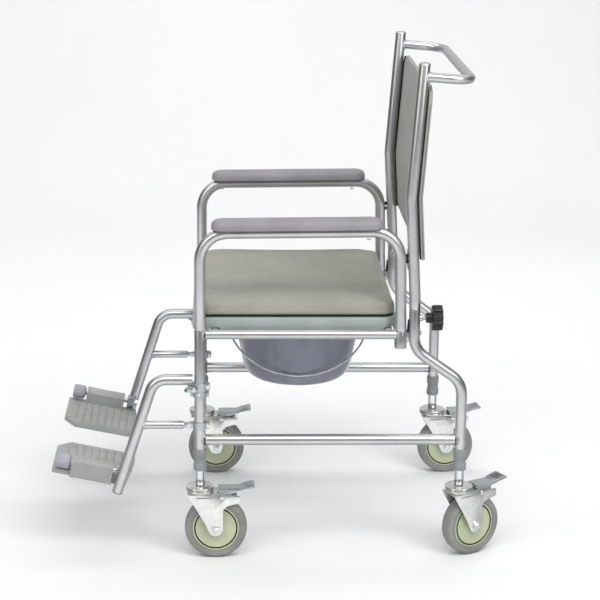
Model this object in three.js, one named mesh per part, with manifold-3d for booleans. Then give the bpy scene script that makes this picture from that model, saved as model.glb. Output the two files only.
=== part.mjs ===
// Attendant-pushed commode chair: a welded tube frame on four braked castors, with swing-away
// footrests, lift-off armrests and backrest, a padded lid, a plastic commode seat and a pail.
// Millimetres, +Z up, the sitter faces -Y and the sitter's left is +X. The floor is Z = 0.
import * as THREE from 'three';
import { mergeVertices } from 'three/addons/utils/BufferGeometryUtils.js';
import Module from 'manifold-3d';

const wasm = await Module();
wasm.setup();

// Driving dimensions -----------------------------------------------------------------------
const GAP = 0.3;                      // clearance where two pieces meet
const TUBE_R = 11;                    // main frame tube, 22 mm
const TUBE_BORE_R = 9.8;
const SMALL_TUBE_R = 9.5;             // 19 mm tube: seat rails, push handle, inner legs
const SPIGOT_R = 9.4;
const SIDES = 12;                     // facets round a tube
const HALF_WIDTH = 240;               // tube centre of each side frame from the middle

const FRONT_LEG_Y = -165.4;           // puts the origin under the middle of the whole chair
const REAR_LEG_Y = FRONT_LEG_Y + 519;
const BACK_POST_Y = FRONT_LEG_Y + 422;
const ARM_REAR_Y = FRONT_LEG_Y + 395.2;

const LEG_BOTTOM_Z = 187;
const LOWER_RAIL_Z = 246;
const SEAT_RAIL_Z = 464;
const ARM_JOINT_Z = 473;
const POST_JOINT_Z = 516;
const INNER_LEG_TOP_Z = 300;
const CROSS_TUBE_YS = [FRONT_LEG_Y + 30, FRONT_LEG_Y + 372];
const FERRULE_BOTTOM_Z = 183;
const FERRULE_TOP_Z = 227;
const FERRULE_R = 13.2;

const WHEEL_R = 62.5;
const WHEEL_WIDTH = 32;
const WHEEL_FACETS = 24;
const HUB_R = 47;
const TRAIL = 31.6;                   // castor stem to wheel axle
const RACE_BOTTOM_Z = 138;
const RACE_TOP_Z = 152;
const BRAKE_PIVOT = { y: 44, z: 131 };
const REAR_SWIVEL_DEG = { left: 30, right: 7 };

const ARM_FRONT_Z = 668;
const ARM_REAR_Z = 672;
const ARM_BEND_R = 55;
const ARM_REAR_LEAN = 4.5;             // how far the rear tube leans forwards by its top
const PAD_HALF_WIDTH = 27;
const PAD_FRONT_Y = FRONT_LEG_Y + 22;
const PAD_REAR_Y = FRONT_LEG_Y + 357;

const POST_KNEE = { y: FRONT_LEG_Y + 410, z: 738 };
const POST_TOP = { y: FRONT_LEG_Y + 429, z: 1002 };
const HANDLE_ROOT_Z = 975;
const HANDLE_BAR = { y: FRONT_LEG_Y + 522, z: 967 };
const PANEL_BOTTOM_Z = 615;
const PANEL_TOP_Z = 954;
const PANEL_THICKNESS = 13;

const SEAT_FRONT_Y = FRONT_LEG_Y - 15;
const SEAT_REAR_Y = FRONT_LEG_Y + 390;
const SEAT_BOTTOM_Z = SEAT_RAIL_Z + SMALL_TUBE_R + GAP;
const SEAT_SKIRT_Z = 465.5;
const SEAT_TOP_Z = 494.3;
const SEAT_HALF_WIDTH = 226;
const SEAT_CORNER_R = 30;
const BOARD_TOP_Z = 497.6;
const CUSHION_SIDE_Z = 519;
const CUSHION_TOP_Z = 529;

const PAIL_Y = FRONT_LEG_Y + 202;
const PAIL_RIM_Z = 451;
const PAIL_BOTTOM_Z = 309.5;
const PAIL_WALL = 2.5;
const BAIL_PIVOT_Z = 437;
const BAIL_REACH = 153;
const BAIL_HALF_SPAN = 148;
const BAIL_DROOP_DEG = 39.4;
const BAIL_WIRE_R = 2;

const HANGER_KNEE = { y: FRONT_LEG_Y - 91, z: 371 };
const HANGER_FOOT = { y: FRONT_LEG_Y - 166, z: 136 };
const HANGER_STRUT_Z = 277;
const LEVER_PIN = { y: FRONT_LEG_Y - 12, z: 355 };
const SPINDLE = { x: 222, y: FRONT_LEG_Y - 168, z: 174 };
const FOOTPLATE_PITCH_DEG = 11.5;
const SPINDLE_R = 5;
const PLATE_TOP = -16;                // tread surface below the spindle's axis

// Materials --------------------------------------------------------------------------------
const finishes = {
  silver: { color: 0xb6b9bd, roughness: 0.38, metalness: 0.85 },
  zinc: { color: 0xd0d3d4, roughness: 0.3, metalness: 0.9 },
  dull_zinc: { color: 0xa0aaac, roughness: 0.5, metalness: 0.7 },
  grey_plastic: { color: 0x969b9e, roughness: 0.55, metalness: 0 },
  footplate_grey: { color: 0x9ea09e, roughness: 0.6, metalness: 0 },
  lilac_plastic: { color: 0xaaa5b2, roughness: 0.5, metalness: 0 },
  tyre_grey: { color: 0x828280, roughness: 0.75, metalness: 0 },
  wheel_olive: { color: 0xbec6a5, roughness: 0.5, metalness: 0 },
  cushion: { color: 0xa0a093, roughness: 0.6, metalness: 0 },
  arm_foam: { color: 0x938f94, roughness: 0.6, metalness: 0 },
  back_cloth: { color: 0xa5a59e, roughness: 0.8, metalness: 0 },
  seat_plastic: { color: 0xa3adaa, roughness: 0.45, metalness: 0 },
  pail_plastic: { color: 0x7d8291, roughness: 0.3, metalness: 0 },
  black_plastic: { color: 0x1c1c1e, roughness: 0.4, metalness: 0 },
};

function makeMesh(name, geometry, finish) {
  const mesh = new THREE.Mesh(geometry, new THREE.MeshStandardMaterial(finishes[finish]));
  mesh.name = name;
  return mesh;
}

// Joining and cutting ----------------------------------------------------------------------
function toSolid(geometry) {
  const bare = geometry.clone();
  bare.deleteAttribute('normal');
  bare.deleteAttribute('uv');
  const merged = mergeVertices(bare, 1e-4);
  return new wasm.Manifold(new wasm.Mesh({
    numProp: 3,
    vertProperties: new Float32Array(merged.attributes.position.array),
    triVerts: new Uint32Array(merged.index.array),
  }));
}

function toGeometry(solid) {
  const mesh = solid.getMesh();
  const geometry = new THREE.BufferGeometry();
  const corners = mesh.vertProperties;
  const stride = mesh.numProp;
  const positions = new Float32Array((corners.length / stride) * 3);
  for (let i = 0; i < corners.length / stride; i += 1) {
    positions.set(corners.slice(i * stride, i * stride + 3), i * 3);
  }
  geometry.setAttribute('position', new THREE.BufferAttribute(positions, 3));
  geometry.setIndex(new THREE.BufferAttribute(new Uint32Array(mesh.triVerts), 1));
  return geometry;
}

function join(...geometries) {
  return toGeometry(geometries.map(toSolid).reduce((whole, next) => whole.add(next)));
}

function cut(geometry, ...tools) {
  return toGeometry(tools.map(toSolid).reduce((rest, tool) => rest.subtract(tool), toSolid(geometry)));
}

// Basic forms ------------------------------------------------------------------------------
function circle(radius, sides = SIDES) {
  const points = [];
  for (let i = 0; i < sides; i += 1) {
    const angle = (i / sides) * Math.PI * 2;
    points.push(new THREE.Vector2(radius * Math.cos(angle), radius * Math.sin(angle)));
  }
  return points;
}

function box(x0, x1, y0, y1, z0, z1) {
  const geometry = new THREE.BoxGeometry(x1 - x0, y1 - y0, z1 - z0);
  return geometry.translate((x0 + x1) / 2, (y0 + y1) / 2, (z0 + z1) / 2);
}

function rodAlong(axis, radius, from, to, sides = SIDES) {
  const geometry = new THREE.CylinderGeometry(radius, radius, to - from, sides);
  if (axis === 'x') geometry.rotateZ(-Math.PI / 2);
  if (axis === 'z') geometry.rotateX(Math.PI / 2);
  const middle = (from + to) / 2;
  return geometry.translate(axis === 'x' ? middle : 0, axis === 'y' ? middle : 0, axis === 'z' ? middle : 0);
}

// A solid of revolution about +Z from [radius, height] pairs listed upwards on the outside.
function turned(profile, segments = 24, startAngle = 0) {
  const points = profile.map(([radius, height]) => new THREE.Vector2(radius, height));
  return new THREE.LatheGeometry(points, segments, startAngle).rotateX(Math.PI / 2);
}

// A shape drawn as (Y, Z) and given thickness along X.
function slabAcross(shape, x0, x1, curveSegments = 6) {
  const geometry = new THREE.ExtrudeGeometry(shape, { depth: x1 - x0, bevelEnabled: false, curveSegments });
  const turn = new THREE.Matrix4().makeBasis(
    new THREE.Vector3(0, 1, 0),
    new THREE.Vector3(0, 0, 1),
    new THREE.Vector3(1, 0, 0),
  );
  return geometry.applyMatrix4(turn).translate(x0, 0, 0);
}

function slabUpwards(shape, z0, z1, curveSegments = 6) {
  const settings = { depth: z1 - z0, bevelEnabled: false, curveSegments };
  return new THREE.ExtrudeGeometry(shape, settings).translate(0, 0, z0);
}

function roundedRectangle(x0, x1, y0, y1, radius) {
  const shape = new THREE.Shape();
  shape.moveTo(x0 + radius, y0);
  shape.lineTo(x1 - radius, y0);
  shape.absarc(x1 - radius, y0 + radius, radius, -Math.PI / 2, 0);
  shape.lineTo(x1, y1 - radius);
  shape.absarc(x1 - radius, y1 - radius, radius, 0, Math.PI / 2);
  shape.lineTo(x0 + radius, y1);
  shape.absarc(x0 + radius, y1 - radius, radius, Math.PI / 2, Math.PI);
  shape.lineTo(x0, y0 + radius);
  shape.absarc(x0 + radius, y0 + radius, radius, Math.PI, Math.PI * 1.5);
  return shape;
}

// Corner points joined by straights, with each corner rounded to an arc of the given radius.
class BentPath extends THREE.Curve {
  constructor(corners, bendRadius, arcSteps = 5) {
    super();
    this.stations = [{ point: corners[0], tangent: corners[1].clone().sub(corners[0]).normalize() }];
    for (let i = 1; i < corners.length - 1; i += 1) {
      this.addBend(corners[i - 1], corners[i], corners[i + 1], bendRadius, arcSteps);
    }
    const last = corners[corners.length - 1];
    const before = corners[corners.length - 2];
    this.stations.push({ point: last, tangent: last.clone().sub(before).normalize() });
  }

  addBend(before, corner, after, bendRadius, arcSteps) {
    const arriving = corner.clone().sub(before).normalize();
    const leaving = after.clone().sub(corner).normalize();
    const turn = arriving.angleTo(leaving);
    const setback = bendRadius * Math.tan(turn / 2);
    const start = corner.clone().addScaledVector(arriving, -setback);
    const inward = leaving.clone().addScaledVector(arriving, -leaving.dot(arriving)).normalize();
    for (let step = 0; step <= arcSteps; step += 1) {
      const angle = (turn * step) / arcSteps;
      const point = start.clone()
        .addScaledVector(arriving, bendRadius * Math.sin(angle))
        .addScaledVector(inward, bendRadius * (1 - Math.cos(angle)));
      const tangent = arriving.clone().multiplyScalar(Math.cos(angle)).addScaledVector(inward, Math.sin(angle));
      this.stations.push({ point, tangent });
    }
  }

  stationAt(u) {
    return this.stations[Math.round(u * (this.stations.length - 1))];
  }

  getPoint(u) {
    return this.stationAt(u).point.clone();
  }

  getPointAt(u) {
    return this.getPoint(u);
  }

  getTangentAt(u) {
    return this.stationAt(u).tangent.clone();
  }
}

function bentTube(corners, radius, bendRadius, { arcSteps = 4, sides = SIDES } = {}) {
  const path = new BentPath(corners.map((corner) => new THREE.Vector3(...corner)), bendRadius, arcSteps);
  const section = new THREE.Shape(circle(radius, sides));
  return new THREE.ExtrudeGeometry(section, { steps: path.stations.length - 1, extrudePath: path });
}

function ringAbout(x, y, z0, z1, outerRadius, innerRadius) {
  const profile = [[outerRadius, z0], [outerRadius, z1], [innerRadius, z1], [innerRadius, z0], [outerRadius, z0]];
  return turned(profile, SIDES).translate(x, y, 0);
}

// Frame ------------------------------------------------------------------------------------
// Each leg's lower end is open for the inner leg, and its upper end takes the armrest's spigot.
function frontLeg(x) {
  return ringAbout(x, FRONT_LEG_Y, LEG_BOTTOM_Z, ARM_JOINT_Z, TUBE_R, TUBE_BORE_R);
}

// From the post socket the tube drops, steps back and drops again to the rear castor.
function rearLeg(x) {
  const corners = [
    [x, BACK_POST_Y, POST_JOINT_Z],
    [x, BACK_POST_Y, 434],
    [x, REAR_LEG_Y, 365],
    [x, REAR_LEG_Y, LEG_BOTTOM_Z],
  ];
  const tube = bentTube(corners, TUBE_R, 50);
  const legBore = rodAlong('z', TUBE_BORE_R, LEG_BOTTOM_Z - 5, INNER_LEG_TOP_Z + 8).translate(x, REAR_LEG_Y, 0);
  const postBore = rodAlong('z', TUBE_BORE_R, POST_JOINT_Z - 48, POST_JOINT_Z + 5).translate(x, BACK_POST_Y, 0);
  const knobBoss = rodAlong('y', 6.5, BACK_POST_Y + 9.5, BACK_POST_Y + 16, 12).translate(x, 0, 498);
  const knobBore = rodAlong('y', 4.4, BACK_POST_Y + 5, BACK_POST_Y + 20, 12).translate(x, 0, 498);
  return cut(join(tube, knobBoss), legBore, postBore, knobBore);
}

function lowerSideRail(x) {
  const reach = TUBE_R + GAP;
  return rodAlong('y', TUBE_R, FRONT_LEG_Y + reach, REAR_LEG_Y - reach).translate(x, 0, LOWER_RAIL_Z);
}

function seatSideRail(x) {
  const start = FRONT_LEG_Y + TUBE_R + GAP;
  const end = BACK_POST_Y - TUBE_R - GAP;
  const rail = rodAlong('y', SMALL_TUBE_R, start, end).translate(x, 0, SEAT_RAIL_Z);
  const socketRoom = rodAlong('z', 13.2, SEAT_RAIL_Z - 40, SEAT_RAIL_Z + 40).translate(x, ARM_REAR_Y, 0);
  const frontPiece = box(x - 20, x + 20, ARM_REAR_Y, end + 10, SEAT_RAIL_Z - 20, SEAT_RAIL_Z + 20);
  return cut(rail, socketRoom, frontPiece);
}

// The cross tubes carry the seat, and the two runners under them carry the pail's rim.
function seatCrossFrame() {
  const reach = HALF_WIDTH - SMALL_TUBE_R - GAP;
  const tubeYs = CROSS_TUBE_YS;
  const crossTubes = tubeYs.map((y) => rodAlong('x', SMALL_TUBE_R, -reach, reach, 12).translate(0, y, SEAT_RAIL_Z));
  const runners = [-1, 1].flatMap((side) => {
    const webX = side * 151;
    const ledgeX = side * 146;
    return [
      box(webX - 1.5, webX + 1.5, tubeYs[0] - 4, tubeYs[1] + 4, 441, SEAT_RAIL_Z - 4),
      box(ledgeX - 6, ledgeX + 6, tubeYs[0] - 4, tubeYs[1] + 4, 441, 444),
    ];
  });
  return join(...crossTubes, ...runners);
}

// A tube beside the back post that holds the armrest's rear spigot, with its welded web.
function armSocket(x) {
  const top = ARM_JOINT_Z;
  const bottom = 437;
  const socket = ringAbout(x, ARM_REAR_Y, bottom, top, 12, TUBE_BORE_R);
  const web = box(x - 3, x + 3, ARM_REAR_Y + 11, BACK_POST_Y - TUBE_R - GAP, 448, 468);
  return join(socket, web);
}

function innerLeg(x, y) {
  return rodAlong('z', SMALL_TUBE_R, RACE_TOP_Z + GAP, INNER_LEG_TOP_Z).translate(x, y, 0);
}

// Plastic bush round the leg's end, closing down onto the inner leg.
function legFerrule(x, y) {
  const grip = TUBE_R + GAP;
  const slide = SMALL_TUBE_R + GAP;
  const profile = [
    [slide, FERRULE_BOTTOM_Z], [FERRULE_R, FERRULE_BOTTOM_Z], [FERRULE_R, FERRULE_TOP_Z], [grip, FERRULE_TOP_Z],
    [grip, LEG_BOTTOM_Z - GAP], [slide, LEG_BOTTOM_Z - GAP], [slide, FERRULE_BOTTOM_Z],
  ];
  return turned(profile, SIDES).translate(x, y, 0);
}

// Castors, drawn about their own stem with the wheel trailing towards +Y --------------------
function castorFork() {
  const bladeX = WHEEL_WIDTH / 2 + 2.5;
  const bladeThickness = 2.5;
  const blade = new THREE.Shape();
  blade.moveTo(-26, 137);
  blade.lineTo(TRAIL - 13, 58);
  blade.absarc(TRAIL, WHEEL_R, 14.5, Math.PI * 1.08, Math.PI * 2);
  blade.lineTo(TRAIL + 14.5, 106);
  blade.lineTo(80, 119);
  blade.lineTo(80, 134);
  blade.lineTo(40, 137);
  const blades = [
    slabAcross(blade, bladeX, bladeX + bladeThickness, 4),
    slabAcross(blade, -bladeX - bladeThickness, -bladeX, 4),
  ];
  const crown = box(-bladeX - bladeThickness, bladeX + bladeThickness, -26, 34, 134, RACE_BOTTOM_Z);
  const race = turned([
    [0, RACE_BOTTOM_Z - 1], [24, RACE_BOTTOM_Z - 1], [28.5, 142],
    [28.5, 148], [24, RACE_TOP_Z], [0, RACE_TOP_Z],
  ], 16);
  const axle = rodAlong('x', 4, -bladeX - 4, bladeX + 4, 10).translate(0, TRAIL, WHEEL_R);
  const nuts = [-1, 1].map((side) => rodAlong('x', 7.5, 0, 6, 6).translate(
    side * (bladeX + bladeThickness + 3) - 3.5 + (side > 0 ? 0.6 : 0.4),
    TRAIL,
    WHEEL_R,
  ));
  const brakePin = rodAlong('x', 3, -bladeX - 1, bladeX + 1, 8).translate(0, BRAKE_PIVOT.y, BRAKE_PIVOT.z);
  return join(...blades, crown, race, axle, ...nuts, brakePin);
}

// The tread's facets touch the wheel's true circle, and one of them lies flat on the floor.
function castorTyre() {
  const half = WHEEL_WIDTH / 2;
  const inner = HUB_R + GAP;
  const tread = WHEEL_R / Math.cos(Math.PI / WHEEL_FACETS);
  const profile = [
    [inner, -13], [57, -half], [tread, -7],
    [tread, 7], [57, half], [inner, 13], [inner, -13],
  ];
  return turned(profile, WHEEL_FACETS, Math.PI / WHEEL_FACETS);
}

function castorHub() {
  const profile = [
    [4.4, -15.5], [13, -15.5], [14, -11], [HUB_R, -13],
    [HUB_R, 13], [14, 11], [13, 15.5], [4.4, 15.5], [4.4, -15.5],
  ];
  return turned(profile, WHEEL_FACETS, Math.PI / WHEEL_FACETS);
}

// A treadle on the fork's pin: pressing its tail brings the shoe under it down on the tyre.
function brakePedal() {
  const plate = new THREE.Shape();
  plate.moveTo(36, 146);
  plate.lineTo(36, 142);
  plate.lineTo(80, 142);
  plate.lineTo(86, 145);
  plate.lineTo(108, 149);
  plate.lineTo(109.5, 153);
  plate.lineTo(104, 156);
  plate.lineTo(84, 150);
  plate.lineTo(79, 146);
  const cheek = new THREE.Shape();
  cheek.moveTo(37.5, 143);
  cheek.absarc(BRAKE_PIVOT.y, BRAKE_PIVOT.z, 6, Math.PI, Math.PI * 2);
  cheek.lineTo(72, 143);
  const tread = slabAcross(plate, -17, 17);
  const cheeks = [-1, 1].map((side) => slabAcross(cheek, side * 15.5 - 1.5, side * 15.5 + 1.5, 4));
  const shoe = box(-11, 11, 60, 74, 122, 143);
  const bore = rodAlong('x', 3.4, -25, 25, 8).translate(0, BRAKE_PIVOT.y, BRAKE_PIVOT.z);
  return cut(join(tread, ...cheeks, shoe), bore);
}

function castor(corner, x, y, swivelDegrees) {
  const group = new THREE.Group();
  group.position.set(x, y, 0);
  group.rotation.z = THREE.MathUtils.degToRad(swivelDegrees);
  const tyre = makeMesh(`castor_tyre_${corner}`, castorTyre().rotateY(Math.PI / 2), 'tyre_grey');
  const hub = makeMesh(`castor_hub_${corner}`, castorHub().rotateY(Math.PI / 2), 'wheel_olive');
  tyre.position.set(0, TRAIL, WHEEL_R);
  hub.position.set(0, TRAIL, WHEEL_R);
  group.add(makeMesh(`castor_fork_${corner}`, castorFork(), 'zinc'), tyre, hub);
  group.add(makeMesh(`brake_pedal_${corner}`, brakePedal(), 'dull_zinc'));
  return group;
}

// Footrests, drawn for the +X side ---------------------------------------------------------
function hangerSlope() {
  return (HANGER_KNEE.y - HANGER_FOOT.y) / (HANGER_KNEE.z - HANGER_FOOT.z);
}

function hanger() {
  const x = HALF_WIDTH;
  const tube = bentTube([
    [x, FRONT_LEG_Y - 14.5, HANGER_KNEE.z],
    [x, HANGER_KNEE.y, HANGER_KNEE.z],
    [x, HANGER_FOOT.y, HANGER_FOOT.z],
  ], TUBE_R, 34);
  const strutStart = HANGER_KNEE.y - hangerSlope() * (HANGER_KNEE.z - HANGER_STRUT_Z);
  const strut = rodAlong('y', 8, strutStart, FRONT_LEG_Y - 31, 12).translate(x, 0, HANGER_STRUT_Z);
  const neck = box(x - 5, x + 5, FRONT_LEG_Y - 36, FRONT_LEG_Y - 12, HANGER_STRUT_Z - 8, HANGER_STRUT_Z + 8);
  const lowerRing = rodAlong('z', 14.5, HANGER_STRUT_Z - 7, HANGER_STRUT_Z + 7).translate(x, FRONT_LEG_Y, 0);
  const lowerLug = box(x - 5, x + 5, FRONT_LEG_Y + 10, FRONT_LEG_Y + 22, HANGER_STRUT_Z - 7, HANGER_STRUT_Z + 7);
  const upperRing = rodAlong('z', 15, 348, 365).translate(x, FRONT_LEG_Y, 0);
  const upperLug = box(x - 7, x + 7, FRONT_LEG_Y - 24, FRONT_LEG_Y - 11, 348, 365);
  const rearLug = box(x - 6, x + 6, FRONT_LEG_Y + 10, FRONT_LEG_Y + 20, 350, 364);
  const leverPin = rodAlong('x', 2.5, x, x + 22, 10).translate(0, LEVER_PIN.y, LEVER_PIN.z);
  const legRoom = rodAlong('z', TUBE_R + 0.6, 200, 420).translate(x, FRONT_LEG_Y, 0);
  const spindleLug = box(SPINDLE.x - 9, x - 4, SPINDLE.y + 1, SPINDLE.y + 17, SPINDLE.z - 11, SPINDLE.z + 9);
  const spindleRoom = rodAlong('y', SPINDLE_R + GAP, -30, 40, 12)
    .rotateX(-THREE.MathUtils.degToRad(FOOTPLATE_PITCH_DEG))
    .translate(SPINDLE.x, SPINDLE.y, SPINDLE.z);
  const whole = join(tube, strut, neck, lowerRing, lowerLug, upperRing, upperLug, rearLug, leverPin, spindleLug);
  return cut(whole, legRoom, spindleRoom);
}

// Collar clamped on the front leg, with the tooth that the swing-away bracket latches on.
function hangerLatch() {
  const ring = rodAlong('z', 14.5, 336, 347.5).translate(HALF_WIDTH, FRONT_LEG_Y, 0);
  const tooth = box(HALF_WIDTH - 4, HALF_WIDTH + 4, FRONT_LEG_Y - 19, FRONT_LEG_Y - 11, 336, 347.5);
  const clampEars = box(HALF_WIDTH - 7, HALF_WIDTH + 7, FRONT_LEG_Y + 10, FRONT_LEG_Y + 18, 336, 347.5);
  const bore = rodAlong('z', TUBE_R + GAP, 330, 355).translate(HALF_WIDTH, FRONT_LEG_Y, 0);
  return cut(join(ring, tooth, clampEars), bore);
}

function releaseLever() {
  const lever = new THREE.Shape();
  const pinY = LEVER_PIN.y;
  lever.moveTo(pinY - 18, 350);
  lever.lineTo(pinY, 349);
  lever.absarc(pinY, LEVER_PIN.z, 6, -Math.PI / 2, Math.PI / 2);
  lever.lineTo(pinY - 14, 362);
  lever.lineTo(pinY - 19, 357);
  const plate = slabAcross(lever, HALF_WIDTH + 15.6, HALF_WIDTH + 20.6);
  const bore = rodAlong('x', 2.8, HALF_WIDTH, HALF_WIDTH + 30, 10).translate(0, pinY, LEVER_PIN.z);
  return cut(plate, bore);
}

// The spindle runs forwards (-Y here) from its own origin; the plate reaches inwards (-X).
function footplateSpindle() {
  return rodAlong('y', SPINDLE_R, -112, 24, 12);
}

function spindleCap() {
  const profile = [[0, 94], [11, 94], [15.3, 99], [15.3, 118], [13, 122], [0, 122]];
  const cap = turned(profile, 16).rotateX(Math.PI / 2);
  const bore = rodAlong('y', SPINDLE_R + GAP, -112 - GAP, -80, 12);
  return cut(cap, bore);
}

function footplate() {
  const outerX = 4;
  const innerX = -159;
  const frontY = -128;
  const rearY = 35;
  const outline = new THREE.Shape();
  outline.moveTo(outerX, frontY);
  outline.lineTo(outerX, rearY - 12);
  outline.lineTo(innerX + 40, rearY);
  outline.lineTo(innerX + 12, rearY);
  outline.lineTo(innerX, rearY - 24);
  outline.lineTo(innerX, frontY + 24);
  outline.lineTo(innerX + 32, frontY);
  const plate = slabUpwards(outline, -28, PLATE_TOP);
  const sleeveShape = new THREE.Shape();
  sleeveShape.moveTo(-15, -40);
  sleeveShape.lineTo(15, -40);
  sleeveShape.lineTo(15, 2);
  sleeveShape.absarc(5, 2, 10, 0, Math.PI / 2);
  sleeveShape.lineTo(-7, 12);
  sleeveShape.absarc(-7, 4, 8, Math.PI / 2, Math.PI);
  const sleeve = new THREE.ExtrudeGeometry(sleeveShape, { depth: 82, bevelEnabled: false, curveSegments: 4 })
    .rotateX(Math.PI / 2)
    .translate(0, -8, 0);
  const grooves = [];
  for (let y = frontY + 26; y < rearY - 10; y += 15.7) {
    grooves.push(box(innerX + 8, -18, y - 0.9, y + 0.9, PLATE_TOP - 1.2, PLATE_TOP + 2));
  }
  const bore = rodAlong('y', SPINDLE_R + GAP, -140, 60, 12);
  return cut(join(plate, sleeve), bore, ...grooves);
}

// Arms -------------------------------------------------------------------------------------
function armTube(x) {
  const tube = bentTube([
    [x, FRONT_LEG_Y, ARM_JOINT_Z + GAP],
    [x, FRONT_LEG_Y, ARM_FRONT_Z],
    [x, ARM_REAR_Y - ARM_REAR_LEAN, ARM_REAR_Z],
    [x, ARM_REAR_Y, ARM_JOINT_Z + 6],
    [x, ARM_REAR_Y, ARM_JOINT_Z + GAP],
  ], TUBE_R, ARM_BEND_R, { arcSteps: 5 });
  const frontSpigot = rodAlong('z', SPIGOT_R, ARM_JOINT_Z - 33, ARM_JOINT_Z + 4).translate(x, FRONT_LEG_Y, 0);
  const rearSpigot = rodAlong('z', SPIGOT_R, ARM_JOINT_Z - 33, ARM_JOINT_Z + 4).translate(x, ARM_REAR_Y, 0);
  return join(tube, frontSpigot, rearSpigot);
}

// A long moulded pad with round ends, its underside grooved to sit on the sloping tube.
function armPad(x) {
  const length = PAD_REAR_Y - PAD_FRONT_Y;
  const outline = roundedRectangle(-PAD_HALF_WIDTH, PAD_HALF_WIDTH, -length / 2, length / 2, 24);
  const shell = new THREE.ExtrudeGeometry(outline, {
    depth: 9, bevelEnabled: true, bevelThickness: 5, bevelSize: 5, bevelOffset: -5, bevelSegments: 1, curveSegments: 4,
  });
  const slope = Math.atan2(ARM_REAR_Z - ARM_FRONT_Z, ARM_REAR_Y - FRONT_LEG_Y);
  const middleY = (PAD_FRONT_Y + PAD_REAR_Y) / 2;
  const middleZ = ARM_FRONT_Z + Math.tan(slope) * (middleY - FRONT_LEG_Y);
  const groove = rodAlong('y', TUBE_R + GAP, -length, length).translate(0, 0, -13.5);
  return cut(shell, groove).rotateX(slope).translate(x, middleY, middleZ + 13.5);
}

// Backrest ---------------------------------------------------------------------------------
function postY(z) {
  const below = z < POST_KNEE.z;
  const low = below ? { y: BACK_POST_Y, z: POST_JOINT_Z + 20 } : POST_KNEE;
  const high = below ? POST_KNEE : POST_TOP;
  return low.y + ((high.y - low.y) * (z - low.z)) / (high.z - low.z);
}

// Both posts and the U-shaped push handle are one weldment that lifts out of the rear legs.
function backFrame() {
  const posts = [-HALF_WIDTH, HALF_WIDTH].flatMap((x) => [
    bentTube([
      [x, BACK_POST_Y, POST_JOINT_Z + GAP],
      [x, BACK_POST_Y, POST_JOINT_Z + 20],
      [x, POST_KNEE.y, POST_KNEE.z],
      [x, POST_TOP.y, POST_TOP.z - 5],
    ], TUBE_R, 60, { arcSteps: 3 }),
    new THREE.SphereGeometry(TUBE_R, SIDES, 6).rotateX(Math.PI / 2).scale(1, 1, 0.5)
      .translate(x, POST_TOP.y - 0.3, POST_TOP.z - 5),
    rodAlong('z', SPIGOT_R, POST_JOINT_Z - 34, POST_JOINT_Z + 4).translate(x, BACK_POST_Y, 0),
  ]);
  const handle = bentTube([
    [-HALF_WIDTH, postY(HANDLE_ROOT_Z), HANDLE_ROOT_Z],
    [-HALF_WIDTH, HANDLE_BAR.y, HANDLE_BAR.z],
    [HALF_WIDTH, HANDLE_BAR.y, HANDLE_BAR.z],
    [HALF_WIDTH, postY(HANDLE_ROOT_Z), HANDLE_ROOT_Z],
  ], SMALL_TUBE_R, 40);
  return join(...posts, handle);
}

// The upholstered panel lies against the rear of both posts and bends with them.
function backPanel() {
  const stand = TUBE_R + 0.5;
  const levels = [PANEL_BOTTOM_Z, POST_KNEE.z, PANEL_TOP_Z];
  const section = new THREE.Shape();
  levels.forEach((z, i) => {
    const y = postY(z) + stand;
    if (i === 0) section.moveTo(y, z);
    else section.lineTo(y, z);
  });
  [...levels].reverse().forEach((z) => section.lineTo(postY(z) + stand + PANEL_THICKNESS, z));
  const half = HALF_WIDTH + 4;
  const slab = slabAcross(section, -half, half);
  const cornerR = 30;
  const trims = [-1, 1].map((side) => {
    const centreX = side * (half - cornerR);
    const edgeX = side * (half + 1);
    const corner = box(
      Math.min(centreX, edgeX), Math.max(centreX, edgeX),
      BACK_POST_Y - 40, BACK_POST_Y + 60, PANEL_TOP_Z - cornerR, PANEL_TOP_Z + 5,
    );
    const round = rodAlong('y', cornerR, BACK_POST_Y - 50, BACK_POST_Y + 70, 24)
      .translate(centreX, 0, PANEL_TOP_Z - cornerR);
    return cut(corner, round);
  });
  return cut(slab, ...trims);
}

// Fluted hand knob with its hub and threaded stud, drawn along +Y from the leg's boss.
function backKnob(x) {
  const flutes = 10;
  const outline = [];
  for (let i = 0; i < flutes * 4; i += 1) {
    const angle = (i / (flutes * 4)) * Math.PI * 2;
    const radius = i % 4 < 2 ? 26 : 23;
    outline.push(new THREE.Vector2(radius * Math.cos(angle), radius * Math.sin(angle)));
  }
  const start = BACK_POST_Y + 33.5;
  const grip = new THREE.ExtrudeGeometry(new THREE.Shape(outline), { depth: 21, bevelEnabled: false })
    .rotateX(-Math.PI / 2)
    .translate(0, start, 0);
  const hub = rodAlong('y', 10, BACK_POST_Y + 22, start + 3);
  const stud = rodAlong('y', 4, BACK_POST_Y + 10.2, BACK_POST_Y + 26, 12);
  return join(grip, hub, stud).translate(x, 0, 498);
}

// Seat -------------------------------------------------------------------------------------
function seatOutline(inset) {
  const x = SEAT_HALF_WIDTH - inset;
  return roundedRectangle(-x, x, SEAT_FRONT_Y + inset, SEAT_REAR_Y - inset, SEAT_CORNER_R - inset);
}

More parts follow.
